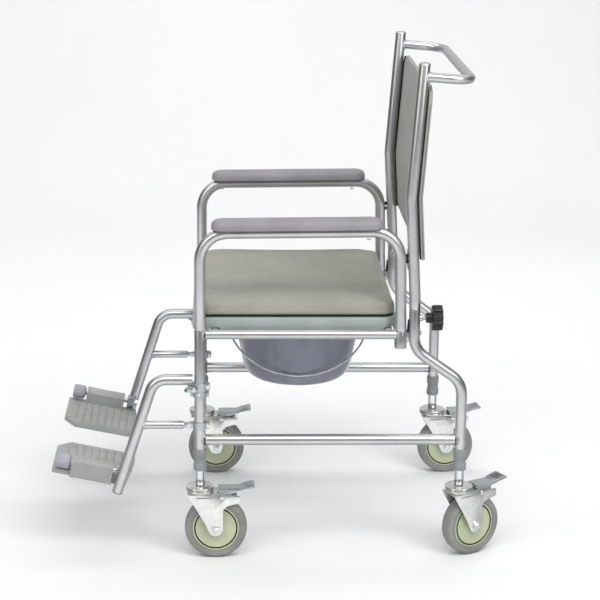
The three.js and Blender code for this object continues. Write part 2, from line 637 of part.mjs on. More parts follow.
// The seat's skirt hangs inside the side rails and is notched over the cross tubes.
function commodeSeat() {
  const deckOutline = seatOutline(0);
  const opening = new THREE.Path();
  opening.absellipse(0, PAIL_Y, 98, 122, 0, Math.PI * 2, true);
  deckOutline.holes.push(opening);
  const deck = slabUpwards(deckOutline, SEAT_BOTTOM_Z, SEAT_TOP_Z, 8);
  const skirtOutline = seatOutline(0);
  skirtOutline.holes.push(seatOutline(3));
  const skirt = slabUpwards(skirtOutline, SEAT_SKIRT_Z, SEAT_BOTTOM_Z + 1, 8);
  const room = SMALL_TUBE_R + 1.5;
  const notches = CROSS_TUBE_YS.map((y) => box(-300, 300, y - room, y + room, SEAT_SKIRT_Z - 10, SEAT_BOTTOM_Z));
  return cut(join(deck, skirt), ...notches);
}

function seatCushion() {
  const rim = slabUpwards(seatOutline(2), BOARD_TOP_Z + GAP, CUSHION_SIDE_Z, 4);
  const crown = new THREE.ExtrudeGeometry(seatOutline(2), {
    depth: 0.5, bevelEnabled: true, bevelThickness: CUSHION_TOP_Z - CUSHION_SIDE_Z, bevelSize: 24, bevelOffset: -24,
    bevelSegments: 2, curveSegments: 4,
  }).translate(0, 0, CUSHION_SIDE_Z - 1);
  const lowerHalf = box(-300, 300, SEAT_FRONT_Y - 20, SEAT_REAR_Y + 20, 400, CUSHION_SIDE_Z - 1);
  return join(rim, cut(crown, lowerHalf));
}

// Pail -------------------------------------------------------------------------------------
function pail() {
  const outer = [[0, PAIL_BOTTOM_Z], [86, PAIL_BOTTOM_Z], [98.5, 313], [108.5, 324], [114, 340], [134.5, 445]];
  const rim = [[146, 445.5], [146, PAIL_RIM_Z], [133.5, PAIL_RIM_Z]];
  const inner = [[111.5, 340], [106, 325], [97, 315.5], [85, PAIL_BOTTOM_Z + PAIL_WALL], [0, PAIL_BOTTOM_Z + PAIL_WALL]];
  const bucket = turned([...outer, ...rim, ...inner], 28).translate(0, PAIL_Y, 0);
  const ears = [-1, 1].map((side) => {
    const far = side * 145;
    const near = side * 131.5;
    return rodAlong('y', 6, Math.min(near, far), Math.max(near, far), 12).translate(0, PAIL_Y, BAIL_PIVOT_Z);
  });
  const bores = [-1, 1].map((side) => {
    const far = side * 150;
    const near = side * 137;
    return rodAlong('y', BAIL_WIRE_R + 0.5, Math.min(near, far), Math.max(near, far), 10)
      .translate(0, PAIL_Y, BAIL_PIVOT_Z);
  });
  return cut(join(bucket, ...ears), ...bores);
}

// Wire bow between the pail's ears, resting against the pail's +X side.
class BailCurve extends THREE.Curve {
  constructor() {
    super();
    this.arcSteps = 14;
    const droop = THREE.MathUtils.degToRad(BAIL_DROOP_DEG);
    this.outward = new THREE.Vector3(Math.cos(droop), 0, -Math.sin(droop));
  }

  getPoint(u) {
    const angle = Math.PI * u;
    return new THREE.Vector3(0, -BAIL_HALF_SPAN * Math.cos(angle), 0)
      .addScaledVector(this.outward, BAIL_REACH * Math.sin(angle));
  }

  getPointAt(u) {
    return this.getPoint(u);
  }
}

function bail() {
  const curve = new BailCurve();
  const section = new THREE.Shape(circle(BAIL_WIRE_R, 6));
  const bow = new THREE.ExtrudeGeometry(section, { steps: curve.arcSteps, extrudePath: curve });
  const pins = [-1, 1].map((side) => {
    const far = side * (BAIL_HALF_SPAN + 1.5);
    const near = side * 139;
    return rodAlong('y', BAIL_WIRE_R, Math.min(near, far), Math.max(near, far), 6);
  });
  return join(bow, ...pins).translate(0, PAIL_Y, BAIL_PIVOT_Z);
}

// Assembly ---------------------------------------------------------------------------------
// Mirrored pieces are drawn for +X; the copy for -X is reflected and its faces turned back out.
function onSide(geometry, side) {
  if (side > 0) return geometry;
  const copy = geometry.index ? geometry.toNonIndexed() : geometry.clone();
  copy.scale(-1, 1, 1);
  const positions = copy.attributes.position;
  const flipped = new Float32Array(positions.array.length);
  for (let corner = 0; corner < positions.count; corner += 3) {
    for (let k = 0; k < 3; k += 1) {
      const from = (corner + (k === 0 ? 0 : 3 - k)) * 3;
      flipped.set(positions.array.slice(from, from + 3), (corner + k) * 3);
    }
  }
  const mirrored = new THREE.BufferGeometry();
  mirrored.setAttribute('position', new THREE.BufferAttribute(flipped, 3));
  return mirrored;
}

function footrest(sideName, side) {
  const group = new THREE.Group();
  group.add(
    makeMesh(`footrest_hanger_${sideName}`, onSide(hanger(), side), 'silver'),
    makeMesh(`hanger_latch_${sideName}`, onSide(hangerLatch(), side), 'dull_zinc'),
    makeMesh(`hanger_release_lever_${sideName}`, onSide(releaseLever(), side), 'dull_zinc'),
  );
  const pitched = new THREE.Group();
  pitched.position.set(side * SPINDLE.x, SPINDLE.y, SPINDLE.z);
  pitched.rotation.x = -THREE.MathUtils.degToRad(FOOTPLATE_PITCH_DEG);
  pitched.add(
    makeMesh(`footplate_spindle_${sideName}`, onSide(footplateSpindle(), side), 'zinc'),
    makeMesh(`footplate_end_cap_${sideName}`, onSide(spindleCap(), side), 'lilac_plastic'),
    makeMesh(`footplate_${sideName}`, onSide(footplate(), side), 'footplate_grey'),
  );
  group.add(pitched);
  return group;
}

function sideAssembly(sideName, side) {
  const group = new THREE.Group();
  const x = side * HALF_WIDTH;
  group.add(
    makeMesh(`front_leg_${sideName}`, frontLeg(x), 'silver'),
    makeMesh(`rear_leg_${sideName}`, rearLeg(x), 'silver'),
    makeMesh(`lower_side_rail_${sideName}`, lowerSideRail(x), 'silver'),
    makeMesh(`seat_side_rail_${sideName}`, seatSideRail(x), 'silver'),
    makeMesh(`arm_socket_${sideName}`, armSocket(x), 'silver'),
    makeMesh(`arm_tube_${sideName}`, armTube(x), 'silver'),
    makeMesh(`arm_pad_${sideName}`, armPad(x), 'arm_foam'),
    makeMesh(`back_knob_${sideName}`, backKnob(x), 'black_plastic'),
    footrest(sideName, side),
  );
  const corners = [
    { name: `front_${sideName}`, y: FRONT_LEG_Y, swivel: 0 },
    { name: `rear_${sideName}`, y: REAR_LEG_Y, swivel: REAR_SWIVEL_DEG[sideName] },
  ];
  for (const { name, y, swivel } of corners) {
    group.add(
      makeMesh(`inner_leg_${name}`, innerLeg(x, y), 'silver'),
      makeMesh(`leg_ferrule_${name}`, legFerrule(x, y), 'grey_plastic'),
      castor(name, x, y, swivel),
    );
  }
  return group;
}

function middleAssembly() {
  const group = new THREE.Group();
  group.add(
    makeMesh('seat_cross_frame', seatCrossFrame(), 'silver'),
    makeMesh('back_frame', backFrame(), 'silver'),
    makeMesh('back_panel', backPanel(), 'back_cloth'),
    makeMesh('commode_seat', commodeSeat(), 'seat_plastic'),
    makeMesh('seat_board', slabUpwards(seatOutline(5), SEAT_TOP_Z + GAP, BOARD_TOP_Z), 'black_plastic'),
    makeMesh('seat_cushion', seatCushion(), 'cushion'),
    makeMesh('pail', pail(), 'pail_plastic'),
    makeMesh('pail_bail', bail(), 'zinc'),
  );
  return group;
}

const chair = new THREE.Group();
chair.add(sideAssembly('left', 1), sideAssembly('right', -1), middleAssembly());

export default chair;
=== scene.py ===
import math

import bmesh
import bpy
from mathutils import Matrix, Vector, noise


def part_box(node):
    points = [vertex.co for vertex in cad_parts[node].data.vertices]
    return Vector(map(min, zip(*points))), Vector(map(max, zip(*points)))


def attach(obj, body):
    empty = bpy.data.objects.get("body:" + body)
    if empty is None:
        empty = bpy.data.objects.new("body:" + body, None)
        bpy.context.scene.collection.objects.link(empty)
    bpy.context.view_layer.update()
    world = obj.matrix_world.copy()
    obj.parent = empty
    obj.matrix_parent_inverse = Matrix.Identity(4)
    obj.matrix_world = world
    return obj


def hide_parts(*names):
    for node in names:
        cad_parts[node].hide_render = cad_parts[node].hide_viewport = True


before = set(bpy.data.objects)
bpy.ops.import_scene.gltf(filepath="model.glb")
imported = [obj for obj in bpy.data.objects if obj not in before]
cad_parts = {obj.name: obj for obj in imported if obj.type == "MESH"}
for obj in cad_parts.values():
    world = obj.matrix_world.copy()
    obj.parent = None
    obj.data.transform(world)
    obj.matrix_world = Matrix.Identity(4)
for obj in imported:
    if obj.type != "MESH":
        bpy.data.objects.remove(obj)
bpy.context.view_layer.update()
scene = bpy.context.scene

# Everything below is drawn in millimetres in the row frame and scaled once, in piece().
MM = 0.001
TUBE = 11.0
SMALL_TUBE = 9.5
SIDES = (("left", 1), ("right", -1))


def middle(node):
    """Centre of a CAD node's box, in millimetres."""
    low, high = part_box(node)
    return (low + high) / 2 / MM


def low(node):
    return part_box(node)[0] / MM


def high(node):
    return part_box(node)[1] / MM


HALF = middle("front_leg_left").x
FRONT_Y = middle("front_leg_left").y
REAR_Y = middle("inner_leg_rear_left").y
POST_Y = FRONT_Y + 422
ARM_REAR_Y = low("arm_socket_left").y + 12
ARM_JOINT_Z = high("front_leg_left").z
POST_JOINT_Z = high("rear_leg_left").z
LEG_BOTTOM_Z = low("front_leg_left").z
LOWER_RAIL_Z = middle("lower_side_rail_left").z
SEAT_RAIL_Z = middle("seat_side_rail_left").z
KNEE_Y, KNEE_Z = FRONT_Y + 410, 738
TOP_Y, TOP_Z = FRONT_Y + 429, high("back_frame").z - 0.5
HANDLE_Y, HANDLE_Z = FRONT_Y + 522, 967
HANDLE_ROOT_Z = 975
KNOB_Z = middle("back_knob_left").z
ARM_TOP_Z = 668
ARM_LEAN = 4.5
ARM_BEND = 55
SPIGOT = 9.3


def post_y(z):
    """Y of a back post's centre line at height z."""
    if z < KNEE_Z:
        return POST_Y + (KNEE_Y - POST_Y) * (z - POST_JOINT_Z - 20) / (KNEE_Z - POST_JOINT_Z - 20)
    return KNEE_Y + (TOP_Y - KNEE_Y) * (z - KNEE_Z) / (TOP_Z - KNEE_Z)


# ------------------------------------------------------------------ materials
def linear(colour):
    """sRGB 0-255 to the shader's linear colour."""
    out = []
    for c in colour:
        c /= 255
        out.append(c / 12.92 if c <= 0.04045 else ((c + 0.055) / 1.055) ** 2.4)
    return (*out, 1.0)


def shade(colour, factor):
    return tuple(min(255, c * factor) for c in colour)


# Patches of colour per metre, the noise's roughness, and the depth of the broad unevenness in millimetres.
BLOTCH = 14.0
NOISE_ROUGHNESS = 0.55
RIPPLE = 0.02


class Nodes:
    """Short names for the nodes that every material here is built from."""

    def __init__(self, name):
        self.material = bpy.data.materials.new(name)
        self.material.use_nodes = True
        self.tree = self.material.node_tree
        self.shader = self.tree.nodes["Principled BSDF"]
        self.where = self.new("ShaderNodeTexCoord").outputs["Object"]

    def new(self, kind, **settings):
        node = self.tree.nodes.new(kind)
        for key, value in settings.items():
            setattr(node, key, value)
        return node

    def link(self, a, b):
        self.tree.links.new(a, b)

    def noise(self, scale, detail=4.0):
        node = self.new("ShaderNodeTexNoise")
        node.inputs["Scale"].default_value = scale
        node.inputs["Detail"].default_value = detail
        node.inputs["Roughness"].default_value = NOISE_ROUGHNESS
        self.link(self.where, node.inputs["Vector"])
        return node.outputs["Fac"]

    def cells(self, scale, feature="F1"):
        node = self.new("ShaderNodeTexVoronoi", feature=feature)
        node.inputs["Scale"].default_value = scale
        self.link(self.where, node.inputs["Vector"])
        return node

    def wave(self, scale, direction, distortion=0.6):
        node = self.new("ShaderNodeTexWave", bands_direction=direction)
        node.inputs["Scale"].default_value = scale
        node.inputs["Distortion"].default_value = distortion
        node.inputs["Detail"].default_value = 1.0
        self.link(self.where, node.inputs["Vector"])
        return node.outputs["Fac"]

    def spread(self, value, low, high, start=0.0, end=1.0):
        node = self.new("ShaderNodeMapRange")
        for key, number in zip(("From Min", "From Max", "To Min", "To Max"), (start, end, low, high)):
            node.inputs[key].default_value = number
        self.link(value, node.inputs["Value"])
        return node.outputs["Result"]

    def mix(self, factor, a, b):
        node = self.new("ShaderNodeMix", data_type="RGBA")
        for socket, colour in ((node.inputs[6], a), (node.inputs[7], b)):
            if isinstance(colour, tuple):
                socket.default_value = colour
            else:
                self.link(colour, socket)
        self.link(factor, node.inputs[0])
        return node.outputs[2]

    def maths(self, operation, a, b):
        node = self.new("ShaderNodeMath", operation=operation)
        for socket, value in zip(node.inputs, (a, b)):
            if isinstance(value, (int, float)):
                socket.default_value = value
            else:
                self.link(value, socket)
        return node.outputs[0]

    def bump(self, height, depth, below=None):
        node = self.new("ShaderNodeBump")
        node.inputs["Strength"].default_value = 1.0
        node.inputs["Distance"].default_value = depth * MM
        self.link(height, node.inputs["Height"])
        if below is not None:
            self.link(below, node.inputs["Normal"])
        return node.outputs["Normal"]


def surface(
    name, colour, rough, metallic=0.0, vary=0.05, rough_vary=0.06,
    grain=1400.0, grain_depth=0.03, pattern="fine", wear=0.0, wear_colour=(225, 227, 230),
    dust=0.0, coat=0.0, coat_rough=0.2, sheen=0.0, specular=0.5, tint=None,
):
    """A finish with drifting colour, a small-scale grain, uneven gloss and worn edges; the leather and weave
    patterns also paint shade into the low grooves of their grain.
    """
    n = Nodes(name)
    broad = n.spread(n.noise(BLOTCH), 0, 1, 0.35, 0.65)
    base = n.mix(broad, linear(shade(colour, 1 - vary)), linear(shade(tint or colour, 1 + vary)))
    fine = n.noise(grain, 2.0)
    base = n.mix(n.spread(fine, 0, 0.35, 0.55, 0.8), base, linear(shade(colour, 0.82)))
    height, depth = fine, grain_depth
    if pattern == "spangle":
        cell = n.cells(420)
        base = n.mix(n.spread(cell.outputs["Distance"], 0, 0.4), base, linear(shade(colour, 1.12)))
        height = cell.outputs["Distance"]
    elif pattern == "leather":
        crease = n.cells(720, "DISTANCE_TO_EDGE").outputs["Distance"]
        height = n.spread(crease, 0, 1, 0.0, 0.22)
        # painted shade: the leather grain's grooves (low height) are drawn up to 30% of the way towards a
        # darker colour
        base = n.mix(n.spread(height, 0.30, 0), base, linear(shade(colour, 0.78)))
    elif pattern == "pebble":
        height = n.cells(1500, "SMOOTH_F1").outputs["Distance"]
    elif pattern == "weave":
        across, along = n.wave(250, "X"), n.wave(250, "Z")
        height = n.maths("MAXIMUM", across, along)
        # painted shade: the low gaps between the woven threads are drawn up to halfway towards a darker colour
        base = n.mix(n.spread(height, 0.5, 0), base, linear(shade(colour, 0.7)))
    if wear:
        edge = n.spread(n.new("ShaderNodeNewGeometry").outputs["Pointiness"], 0, 1, 0.53, 0.62)
        edge = n.maths("MULTIPLY", edge, n.spread(n.noise(90), 0, 1, 0.35, 0.7))
        base = n.mix(n.maths("MULTIPLY", edge, wear), base, linear(wear_colour))
    if dust:
        up = n.new("ShaderNodeSeparateXYZ")
        n.link(n.new("ShaderNodeNewGeometry").outputs["Normal"], up.inputs[0])
        lying = n.spread(up.outputs["Z"], 0, 1, 0.5, 1.0)
        lying = n.maths("MULTIPLY", lying, n.spread(n.noise(40), 0.2, 1, 0.3, 0.7))
        base = n.mix(n.maths("MULTIPLY", lying, dust), base, linear((196, 194, 188)))
    n.link(base, n.shader.inputs["Base Color"])
    n.link(n.spread(n.noise(BLOTCH * 5), rough - rough_vary, rough + rough_vary, 0.3, 0.7),
           n.shader.inputs["Roughness"])
    n.shader.inputs["Metallic"].default_value = metallic
    n.shader.inputs["Coat Weight"].default_value = coat
    n.shader.inputs["Coat Roughness"].default_value = coat_rough
    n.shader.inputs["Sheen Weight"].default_value = sheen
    n.shader.inputs["Specular IOR Level"].default_value = specular
    if depth:
        n.link(n.bump(n.noise(160, 1.0), RIPPLE, n.bump(height, depth)), n.shader.inputs["Normal"])
    return n.material


MATERIALS = {
    "silver_tube": surface("silver_tube", (202, 203, 206), 0.34, 0.95, grain_depth=0.0, rough_vary=0.03,
                           vary=0.025, tint=(205, 205, 203)),
    "bright_tube": surface("bright_tube", (216, 218, 220), 0.16, 1.0, grain_depth=0.0, rough_vary=0.03,
                           vary=0.02),
    "bright_zinc": surface("bright_zinc", (212, 216, 215), 0.27, 0.88, pattern="spangle", grain_depth=0.0,
                           tint=(222, 221, 212), wear=0.3, vary=0.03),
    "dull_zinc": surface("dull_zinc", (180, 186, 188), 0.34, 0.85, pattern="spangle", grain_depth=0.0,
                         wear=0.5, vary=0.05, dust=0.1),
    "grey_plastic": surface("grey_plastic", (136, 140, 143), 0.5, pattern="pebble", grain_depth=0.12, wear=0.25,
                            wear_colour=(190, 193, 196)),
    "footplate_plastic": surface("footplate_plastic", (158, 160, 158), 0.55, pattern="pebble",
                                 grain_depth=0.06, wear=0.4, wear_colour=(198, 199, 197), dust=0.2),
    "lilac_plastic": surface("lilac_plastic", (168, 163, 177), 0.45, grain_depth=0.03, wear=0.2,
                             wear_colour=(200, 196, 206)),
    "tyre_rubber": surface("tyre_rubber", (140, 140, 137), 0.68, grain_depth=0.05, grain=700, vary=0.08,
                           dust=0.1, specular=0.35),
    "wheel_plastic": surface("wheel_plastic", (190, 198, 165), 0.4, grain_depth=0.02, vary=0.04, wear=0.2,
                             wear_colour=(215, 220, 196)),
    # the leather pattern paints shade into the grain's grooves
    "seat_vinyl": surface("seat_vinyl", (154, 154, 141), 0.46, pattern="leather", grain_depth=0.10,
                          vary=0.03, sheen=0.08, wear=0.2, wear_colour=(184, 183, 170)),
    "arm_foam": surface("arm_foam", (143, 140, 144), 0.55, pattern="pebble", grain_depth=0.05, vary=0.04,
                        sheen=0.05, wear=0.25, wear_colour=(172, 168, 173)),
    # the weave pattern paints shade into the gaps between the threads
    "back_cloth": surface("back_cloth", (158, 158, 151), 0.72, pattern="weave", grain_depth=0.16,
                          vary=0.03, sheen=0.15),
    "seat_plastic": surface("seat_plastic", (163, 173, 170), 0.38, grain_depth=0.02, vary=0.025, coat=0.1),
    "pail_plastic": surface("pail_plastic", (136, 141, 157), 0.22, grain_depth=0.0, vary=0.03, coat=0.3,
                            coat_rough=0.1),
    "black_plastic": surface("black_plastic", (24, 24, 26), 0.38, grain_depth=0.03, pattern="pebble",
                             wear=0.2, wear_colour=(70, 70, 72)),
    "black_rubber": surface("black_rubber", (28, 28, 29), 0.7, grain_depth=0.05, specular=0.3),
    "thread": surface("thread", (92, 92, 89), 0.7, grain_depth=0.04, grain=3000, sheen=0.2),
}


# ------------------------------------------------------------------ shapes
class Shape:
    """Points and faces of one piece while it is being drawn."""

    def __init__(self):
        self.points = []
        self.faces = []

    def rings(self, rings, closed=False):
        base, count, size = len(self.points), len(rings), len(rings[0])
        for ring in rings:
            self.points.extend(Vector(p) for p in ring)
        for i in range(count if closed else count - 1):
            a, b = base + i * size, base + ((i + 1) % count) * size
            for k in range(size):
                m = (k + 1) % size
                self.faces.append((a + k, a + m, b + m, b + k))
        if not closed:
            self.faces.append(tuple(base + k for k in reversed(range(size))))
            self.faces.append(tuple(base + (count - 1) * size + k for k in range(size)))
        return self

    def join(self, *others, at=None):
        for other in others:
            base = len(self.points)
            self.points.extend((at @ p) if at else p.copy() for p in other.points)
            self.faces.extend(tuple(base + i for i in f) for f in other.faces)
        return self

    def moved(self, matrix):
        return Shape().join(self, at=matrix)


MIRROR = Matrix.Scale(-1, 4, (1, 0, 0))


def on_side(shape, side):
    return shape if side > 0 else shape.moved(MIRROR)


def turn(degrees, axis):
    return Matrix.Rotation(math.radians(degrees), 4, axis)


def shift(x=0.0, y=0.0, z=0.0):
    return Matrix.Translation((x, y, z))


ALONG_X = turn(90, "Y")
ALONG_Y = turn(-90, "X")


def bent(corners, bend, step=7.0):
    """A line through the corners, each rounded to an arc of radius bend."""
    corners = [Vector(c) for c in corners]
    line = [corners[0]]
    for a, b, c in zip(corners, corners[1:], corners[2:]):
        first, second = (b - a).normalized(), (c - b).normalized()
        angle = first.angle(second)
        start = b - first * bend * math.tan(angle / 2)
        inward = (second - first * second.dot(first)).normalized()
        count = max(2, math.ceil(math.degrees(angle) / step))
        for i in range(count + 1):
            t = angle * i / count
            line.append(start + first * bend * math.sin(t) + inward * bend * (1 - math.cos(t)))
    return line + [corners[-1]]


def tube(line, radius, sides=36, edge=0.9):
    """A round bar along the line, its two ends eased over."""
    line = [Vector(p) for p in line]
    first = (line[1] - line[0]).normalized()
    last = (line[-1] - line[-2]).normalized()
    ends = [(0.0, edge), (0.3 * edge, 0.3 * edge), (edge, 0.0)]
    stations = [(line[0] + first * d, radius - s) for d, s in ends]
    stations += [(p, radius) for p in line[1:-1]]
    stations += [(line[-1] - last * d, radius - s) for d, s in reversed(ends)]
    across = first.orthogonal().normalized()
    rings = []
    for i, (point, r) in enumerate(stations):
        ahead = stations[min(i + 1, len(stations) - 1)][0]
        behind = stations[max(i - 1, 0)][0]
        tangent = (ahead - behind).normalized()
        across = (across - tangent * across.dot(tangent)).normalized()
        other = tangent.cross(across)
        rings.append([
            point + (across * math.cos(a) + other * math.sin(a)) * r
            for a in (2 * math.pi * k / sides for k in range(sides))
        ])
    return Shape().rings(rings)


def lathe(profile, sides=56, closed=False, flutes=0, flute_depth=0.0):
    """(radius, height) pairs turned about Z; closed joins the profile's end to its start."""
    rings = []
    for r, z in profile:
        ring = []
        for k in range(sides):
            a = 2 * math.pi * k / sides
            fluted = flutes and r > flute_depth * 4
            reach = r - flute_depth * (0.5 + 0.5 * math.cos(flutes * a)) if fluted else r
            ring.append((reach * math.cos(a), reach * math.sin(a), z))
        rings.append(ring)
    return Shape().rings(rings, closed)


def eased(points, radius, steps=4, closed=True):
    """A 2-D outline whose corners are rounded as far as their sides allow."""
    points = [Vector(p) for p in points]
    out = []
    count = len(points)
    for i, b in enumerate(points):
        if not closed and i in (0, count - 1):
            out.append(b)
            continue
        a, c = points[i - 1], points[(i + 1) % count]
        before, after = a - b, c - b
        angle = before.angle(after)
        if angle > math.radians(178):
            out.append(b)
            continue
        back = min(radius / math.tan(angle / 2), before.length * 0.48, after.length * 0.48)
        start, end = b + before.normalized() * back, b + after.normalized() * back
        for s in range(steps + 1):
            t = s / steps
            out.append(start * (1 - t) ** 2 + b * 2 * t * (1 - t) + end * t * t)
    return out


def inset(outline, distance):
    """The outline drawn in by distance; outlines run anticlockwise."""
    out = []
    count = len(outline)
    for i, b in enumerate(outline):
        a, c = outline[i - 1], outline[(i + 1) % count]
        first, second = (b - a).normalized(), (c - b).normalized()
        n1, n2 = Vector((-first.y, first.x)), Vector((-second.y, second.x))
        across = (n1 + n2).normalized()
        out.append(b + across * distance / max(0.5, across.dot(n1)))
    return out


def subdivided(outline, step):
    """The outline with points added so that none are more than step apart."""
    out = []
    for a, b in zip(outline, outline[1:] + outline[:1]):
        count = max(1, math.ceil((b - a).length / step))
        out += [a.lerp(b, k / count) for k in range(count)]
    return out


def area(outline):
    return sum(a.x * b.y - b.x * a.y for a, b in zip(outline, outline[1:] + outline[:1])) / 2


def plate(outline, start, end, axis="z", edge=0.5, corner=0.0, steps=4):
    """A flat piece of the outline's shape between start and end along the axis, with eased edges."""
    outline = [Vector(p) for p in outline]
    if corner:
        outline = eased(outline, corner, steps)
    if area(outline) < 0:
        outline.reverse()
    tight = inset(outline, edge)
    near = inset(outline, edge * 0.3)
    layers = [
        (tight, start), (near, start + edge * 0.3), (outline, start + edge),
        (outline, end - edge), (near, end - edge * 0.3), (tight, end),
    ]
    place = {
        "z": lambda p, h: (p.x, p.y, h),
        "x": lambda p, h: (h, p.x, p.y),
        "y": lambda p, h: (p.y, h, p.x),
    }[axis]
    return Shape().rings([[place(p, h) for p in ring] for ring, h in layers])


def block(x0, x1, y0, y1, z0, z1, edge=0.8):
    return plate([(x0, y0), (x1, y0), (x1, y1), (x0, y1)], z0, z1, edge=edge, corner=edge * 1.4, steps=3)


def bar(axis, radius, start, end, x=0.0, y=0.0, z=0.0, sides=28, edge=0.5):
    """A short round bar along one axis through the given point."""
    ends = {
        "x": ((start, y, z), (end, y, z)),
        "y": ((x, start, z), (x, end, z)),
        "z": ((x, y, start), (x, y, end)),
    }
    return tube(ends[axis], radius, sides, edge)


def hexagon(across_flats, start, end, axis_matrix):
    """A bolt head or nut with its corners chamfered."""
    r = across_flats / math.sqrt(3)
    head = lathe([(r * 0.9, start), (r, start + 0.6), (r, end - 0.7), (r * 0.88, end)], 6)
    return head.moved(axis_matrix)


def washer(radius, start, end, axis_matrix):
    profile = [(radius - 0.3, start), (radius, start + 0.3), (radius, end - 0.3), (radius - 0.3, end)]
    return lathe(profile, 32).moved(axis_matrix)


def weld(radius, main_radius, centre, direction, bead=1.7):
    """Weld round a tube of radius that meets, along direction, a tube of main_radius that runs up Z."""
    direction = Vector(direction).normalized()
    side = Vector((0, 0, 1)).cross(direction).normalized()
    count, around = 72, 8
    rings = []
    for i in range(count):
        a = 2 * math.pi * i / count
        across, up = radius * math.cos(a), radius * math.sin(a)
        out = math.sqrt(max(main_radius**2 - across**2, (main_radius * 0.35) ** 2))
        spot = Vector(centre) + direction * out + side * across + Vector((0, 0, up))
        outward = (side * math.cos(a) + Vector((0, 0, math.sin(a))) + direction * 0.9).normalized()
        other = (direction - outward * direction.dot(outward)).normalized()
        size = bead * (1 + 0.16 * math.sin(i * 2.1) + 0.08 * noise.noise(spot * 0.2))
        rings.append([
            spot + (outward * math.cos(b) + other * math.sin(b)) * size
            for b in (2 * math.pi * k / around for k in range(around))
        ])
    return Shape().rings(rings, closed=True)


def piece(name, shape, material, body, replaces=(), sharp=38):
    """Makes the shape a smooth-shaded object that rides on body and hides the CAD nodes it replaces."""
    mesh = bpy.data.meshes.new(name)
    mesh.from_pydata([tuple(p * MM) for p in shape.points], [], shape.faces)
    bm = bmesh.new()
    bm.from_mesh(mesh)
    bmesh.ops.recalc_face_normals(bm, faces=bm.faces)
    bm.to_mesh(mesh)
    bm.free()
    mesh.polygons.foreach_set("use_smooth", [True] * len(mesh.polygons))
    mesh.set_sharp_from_angle(angle=math.radians(sharp))
    mesh.materials.append(MATERIALS[material])
    made = bpy.data.objects.new(name, mesh)
    scene.collection.objects.link(made)
    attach(made, body)
    if replaces:
        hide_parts(*replaces)
    return made


def stand_in(node, shape, material, body, name=None, sharp=38):
    """A piece drawn in place of one CAD node."""
    return piece(f"{name or node}_v", shape, material, body, replaces=[node], sharp=sharp)


# ------------------------------------------------------------------ side frames
def front_leg(x=HALF):
    """Front leg, with the beads of the two rails that meet it."""
    leg = tube([(x, FRONT_Y, LEG_BOTTOM_Z), (x, FRONT_Y, ARM_JOINT_Z)], TUBE)
    return leg.join(
        weld(TUBE, TUBE, (x, FRONT_Y, LOWER_RAIL_Z), (0, 1, 0)),
        weld(SMALL_TUBE, TUBE, (x, FRONT_Y, SEAT_RAIL_Z), (0, 1, 0)),
    )


def rear_leg(x=HALF):
    """Rear leg: cranked back below the post, with the knob's boss."""
    line = bent([
        (x, POST_Y, POST_JOINT_Z), (x, POST_Y, 434), (x, REAR_Y, 365), (x, REAR_Y, LEG_BOTTOM_Z),
    ], 50, 4)
    leg = tube(line, TUBE)
    leg.join(bar("y", 6.5, POST_Y + 9.5, POST_Y + 16, x=x, z=KNOB_Z))
    return leg.join(weld(TUBE, TUBE, (x, REAR_Y, LOWER_RAIL_Z), (0, -1, 0)))


def arm_socket(x=HALF):
    """The short tube and web that take the arm's rear end."""
    bottom, top = low("arm_socket_left").z, high("arm_socket_left").z
    socket = lathe([
        (9.9, bottom + 1), (10.4, bottom), (11.4, bottom), (12, bottom + 0.6), (12, top - 0.8),
        (11.5, top), (10.2, top), (9.9, top - 0.6),
    ], closed=True).moved(shift(x, ARM_REAR_Y))
    web = block(x - 3, x + 3, ARM_REAR_Y + 11, POST_Y - TUBE - 0.3, 448, 468)
    beads = [
        tube([(x + 3 * s, ARM_REAR_Y + 11.6, 449), (x + 3 * s, ARM_REAR_Y + 11.6, 467)], 1.5, 10)
        for s in (-1, 1)
    ]
    return socket.join(web, *beads)


def arm_tube(x=HALF):
    """The arm's bow, with a spigot below each end."""
    start = ARM_JOINT_Z + 0.3
    line = bent([
        (x, FRONT_Y, start), (x, FRONT_Y, ARM_TOP_Z), (x, ARM_REAR_Y - ARM_LEAN, ARM_TOP_Z + 4),
        (x, ARM_REAR_Y, start + 5.7), (x, ARM_REAR_Y, start),
    ], ARM_BEND, 5)
    shape = tube(line, TUBE)
    for y in (FRONT_Y, ARM_REAR_Y):
        shape.join(bar("z", SPIGOT, start - 33, start + 3, x=x, y=y))
    return shape


def arm_pad():
    """A moulded foam pad: flat underneath, crowned on top, with full round ends."""
    y0, y1 = low("arm_pad_left").y, high("arm_pad_left").y
    rise = 4.0 * (y1 - y0) / (ARM_REAR_Y - FRONT_Y)
    z0, z1 = low("arm_pad_left").z, high("arm_pad_left").z - rise
    half, ends = 26.9, 25.0
    outline = []
    centres = (
        (half - ends, y1 - ends, 0), (ends - half, y1 - ends, 90),
        (ends - half, y0 + ends, 180), (half - ends, y0 + ends, 270),
    )
    for cx, cy, start in centres:
        for k in range(13):
            a = math.radians(start + 7.5 * k)
            outline.append(Vector((cx + ends * math.cos(a), cy + ends * math.sin(a))))
    outline = subdivided(outline, 12)
    tall = z1 - z0
    layers = [
        (2.4, 0), (0.9, 0.3), (0.2, 1.2), (0.0, 3.0), (0.3, tall * 0.42), (1.2, tall * 0.62),
        (2.8, tall * 0.76), (5.4, tall * 0.87), (9.0, tall * 0.94), (13.5, tall * 0.98), (18.5, tall),
    ]
    rings = []
    for distance, height in layers:
        ring = []
        for p in inset(outline, distance):
            lean = rise * (p.y - y0) / (y1 - y0)
            dent = 0.35 * noise.noise(Vector((p.x * 0.02, p.y * 0.016, height * 0.05)))
            ring.append((p.x, p.y, z0 + height + lean + (dent if height > 4 else 0)))
        rings.append(ring)
    return Shape().rings(rings)


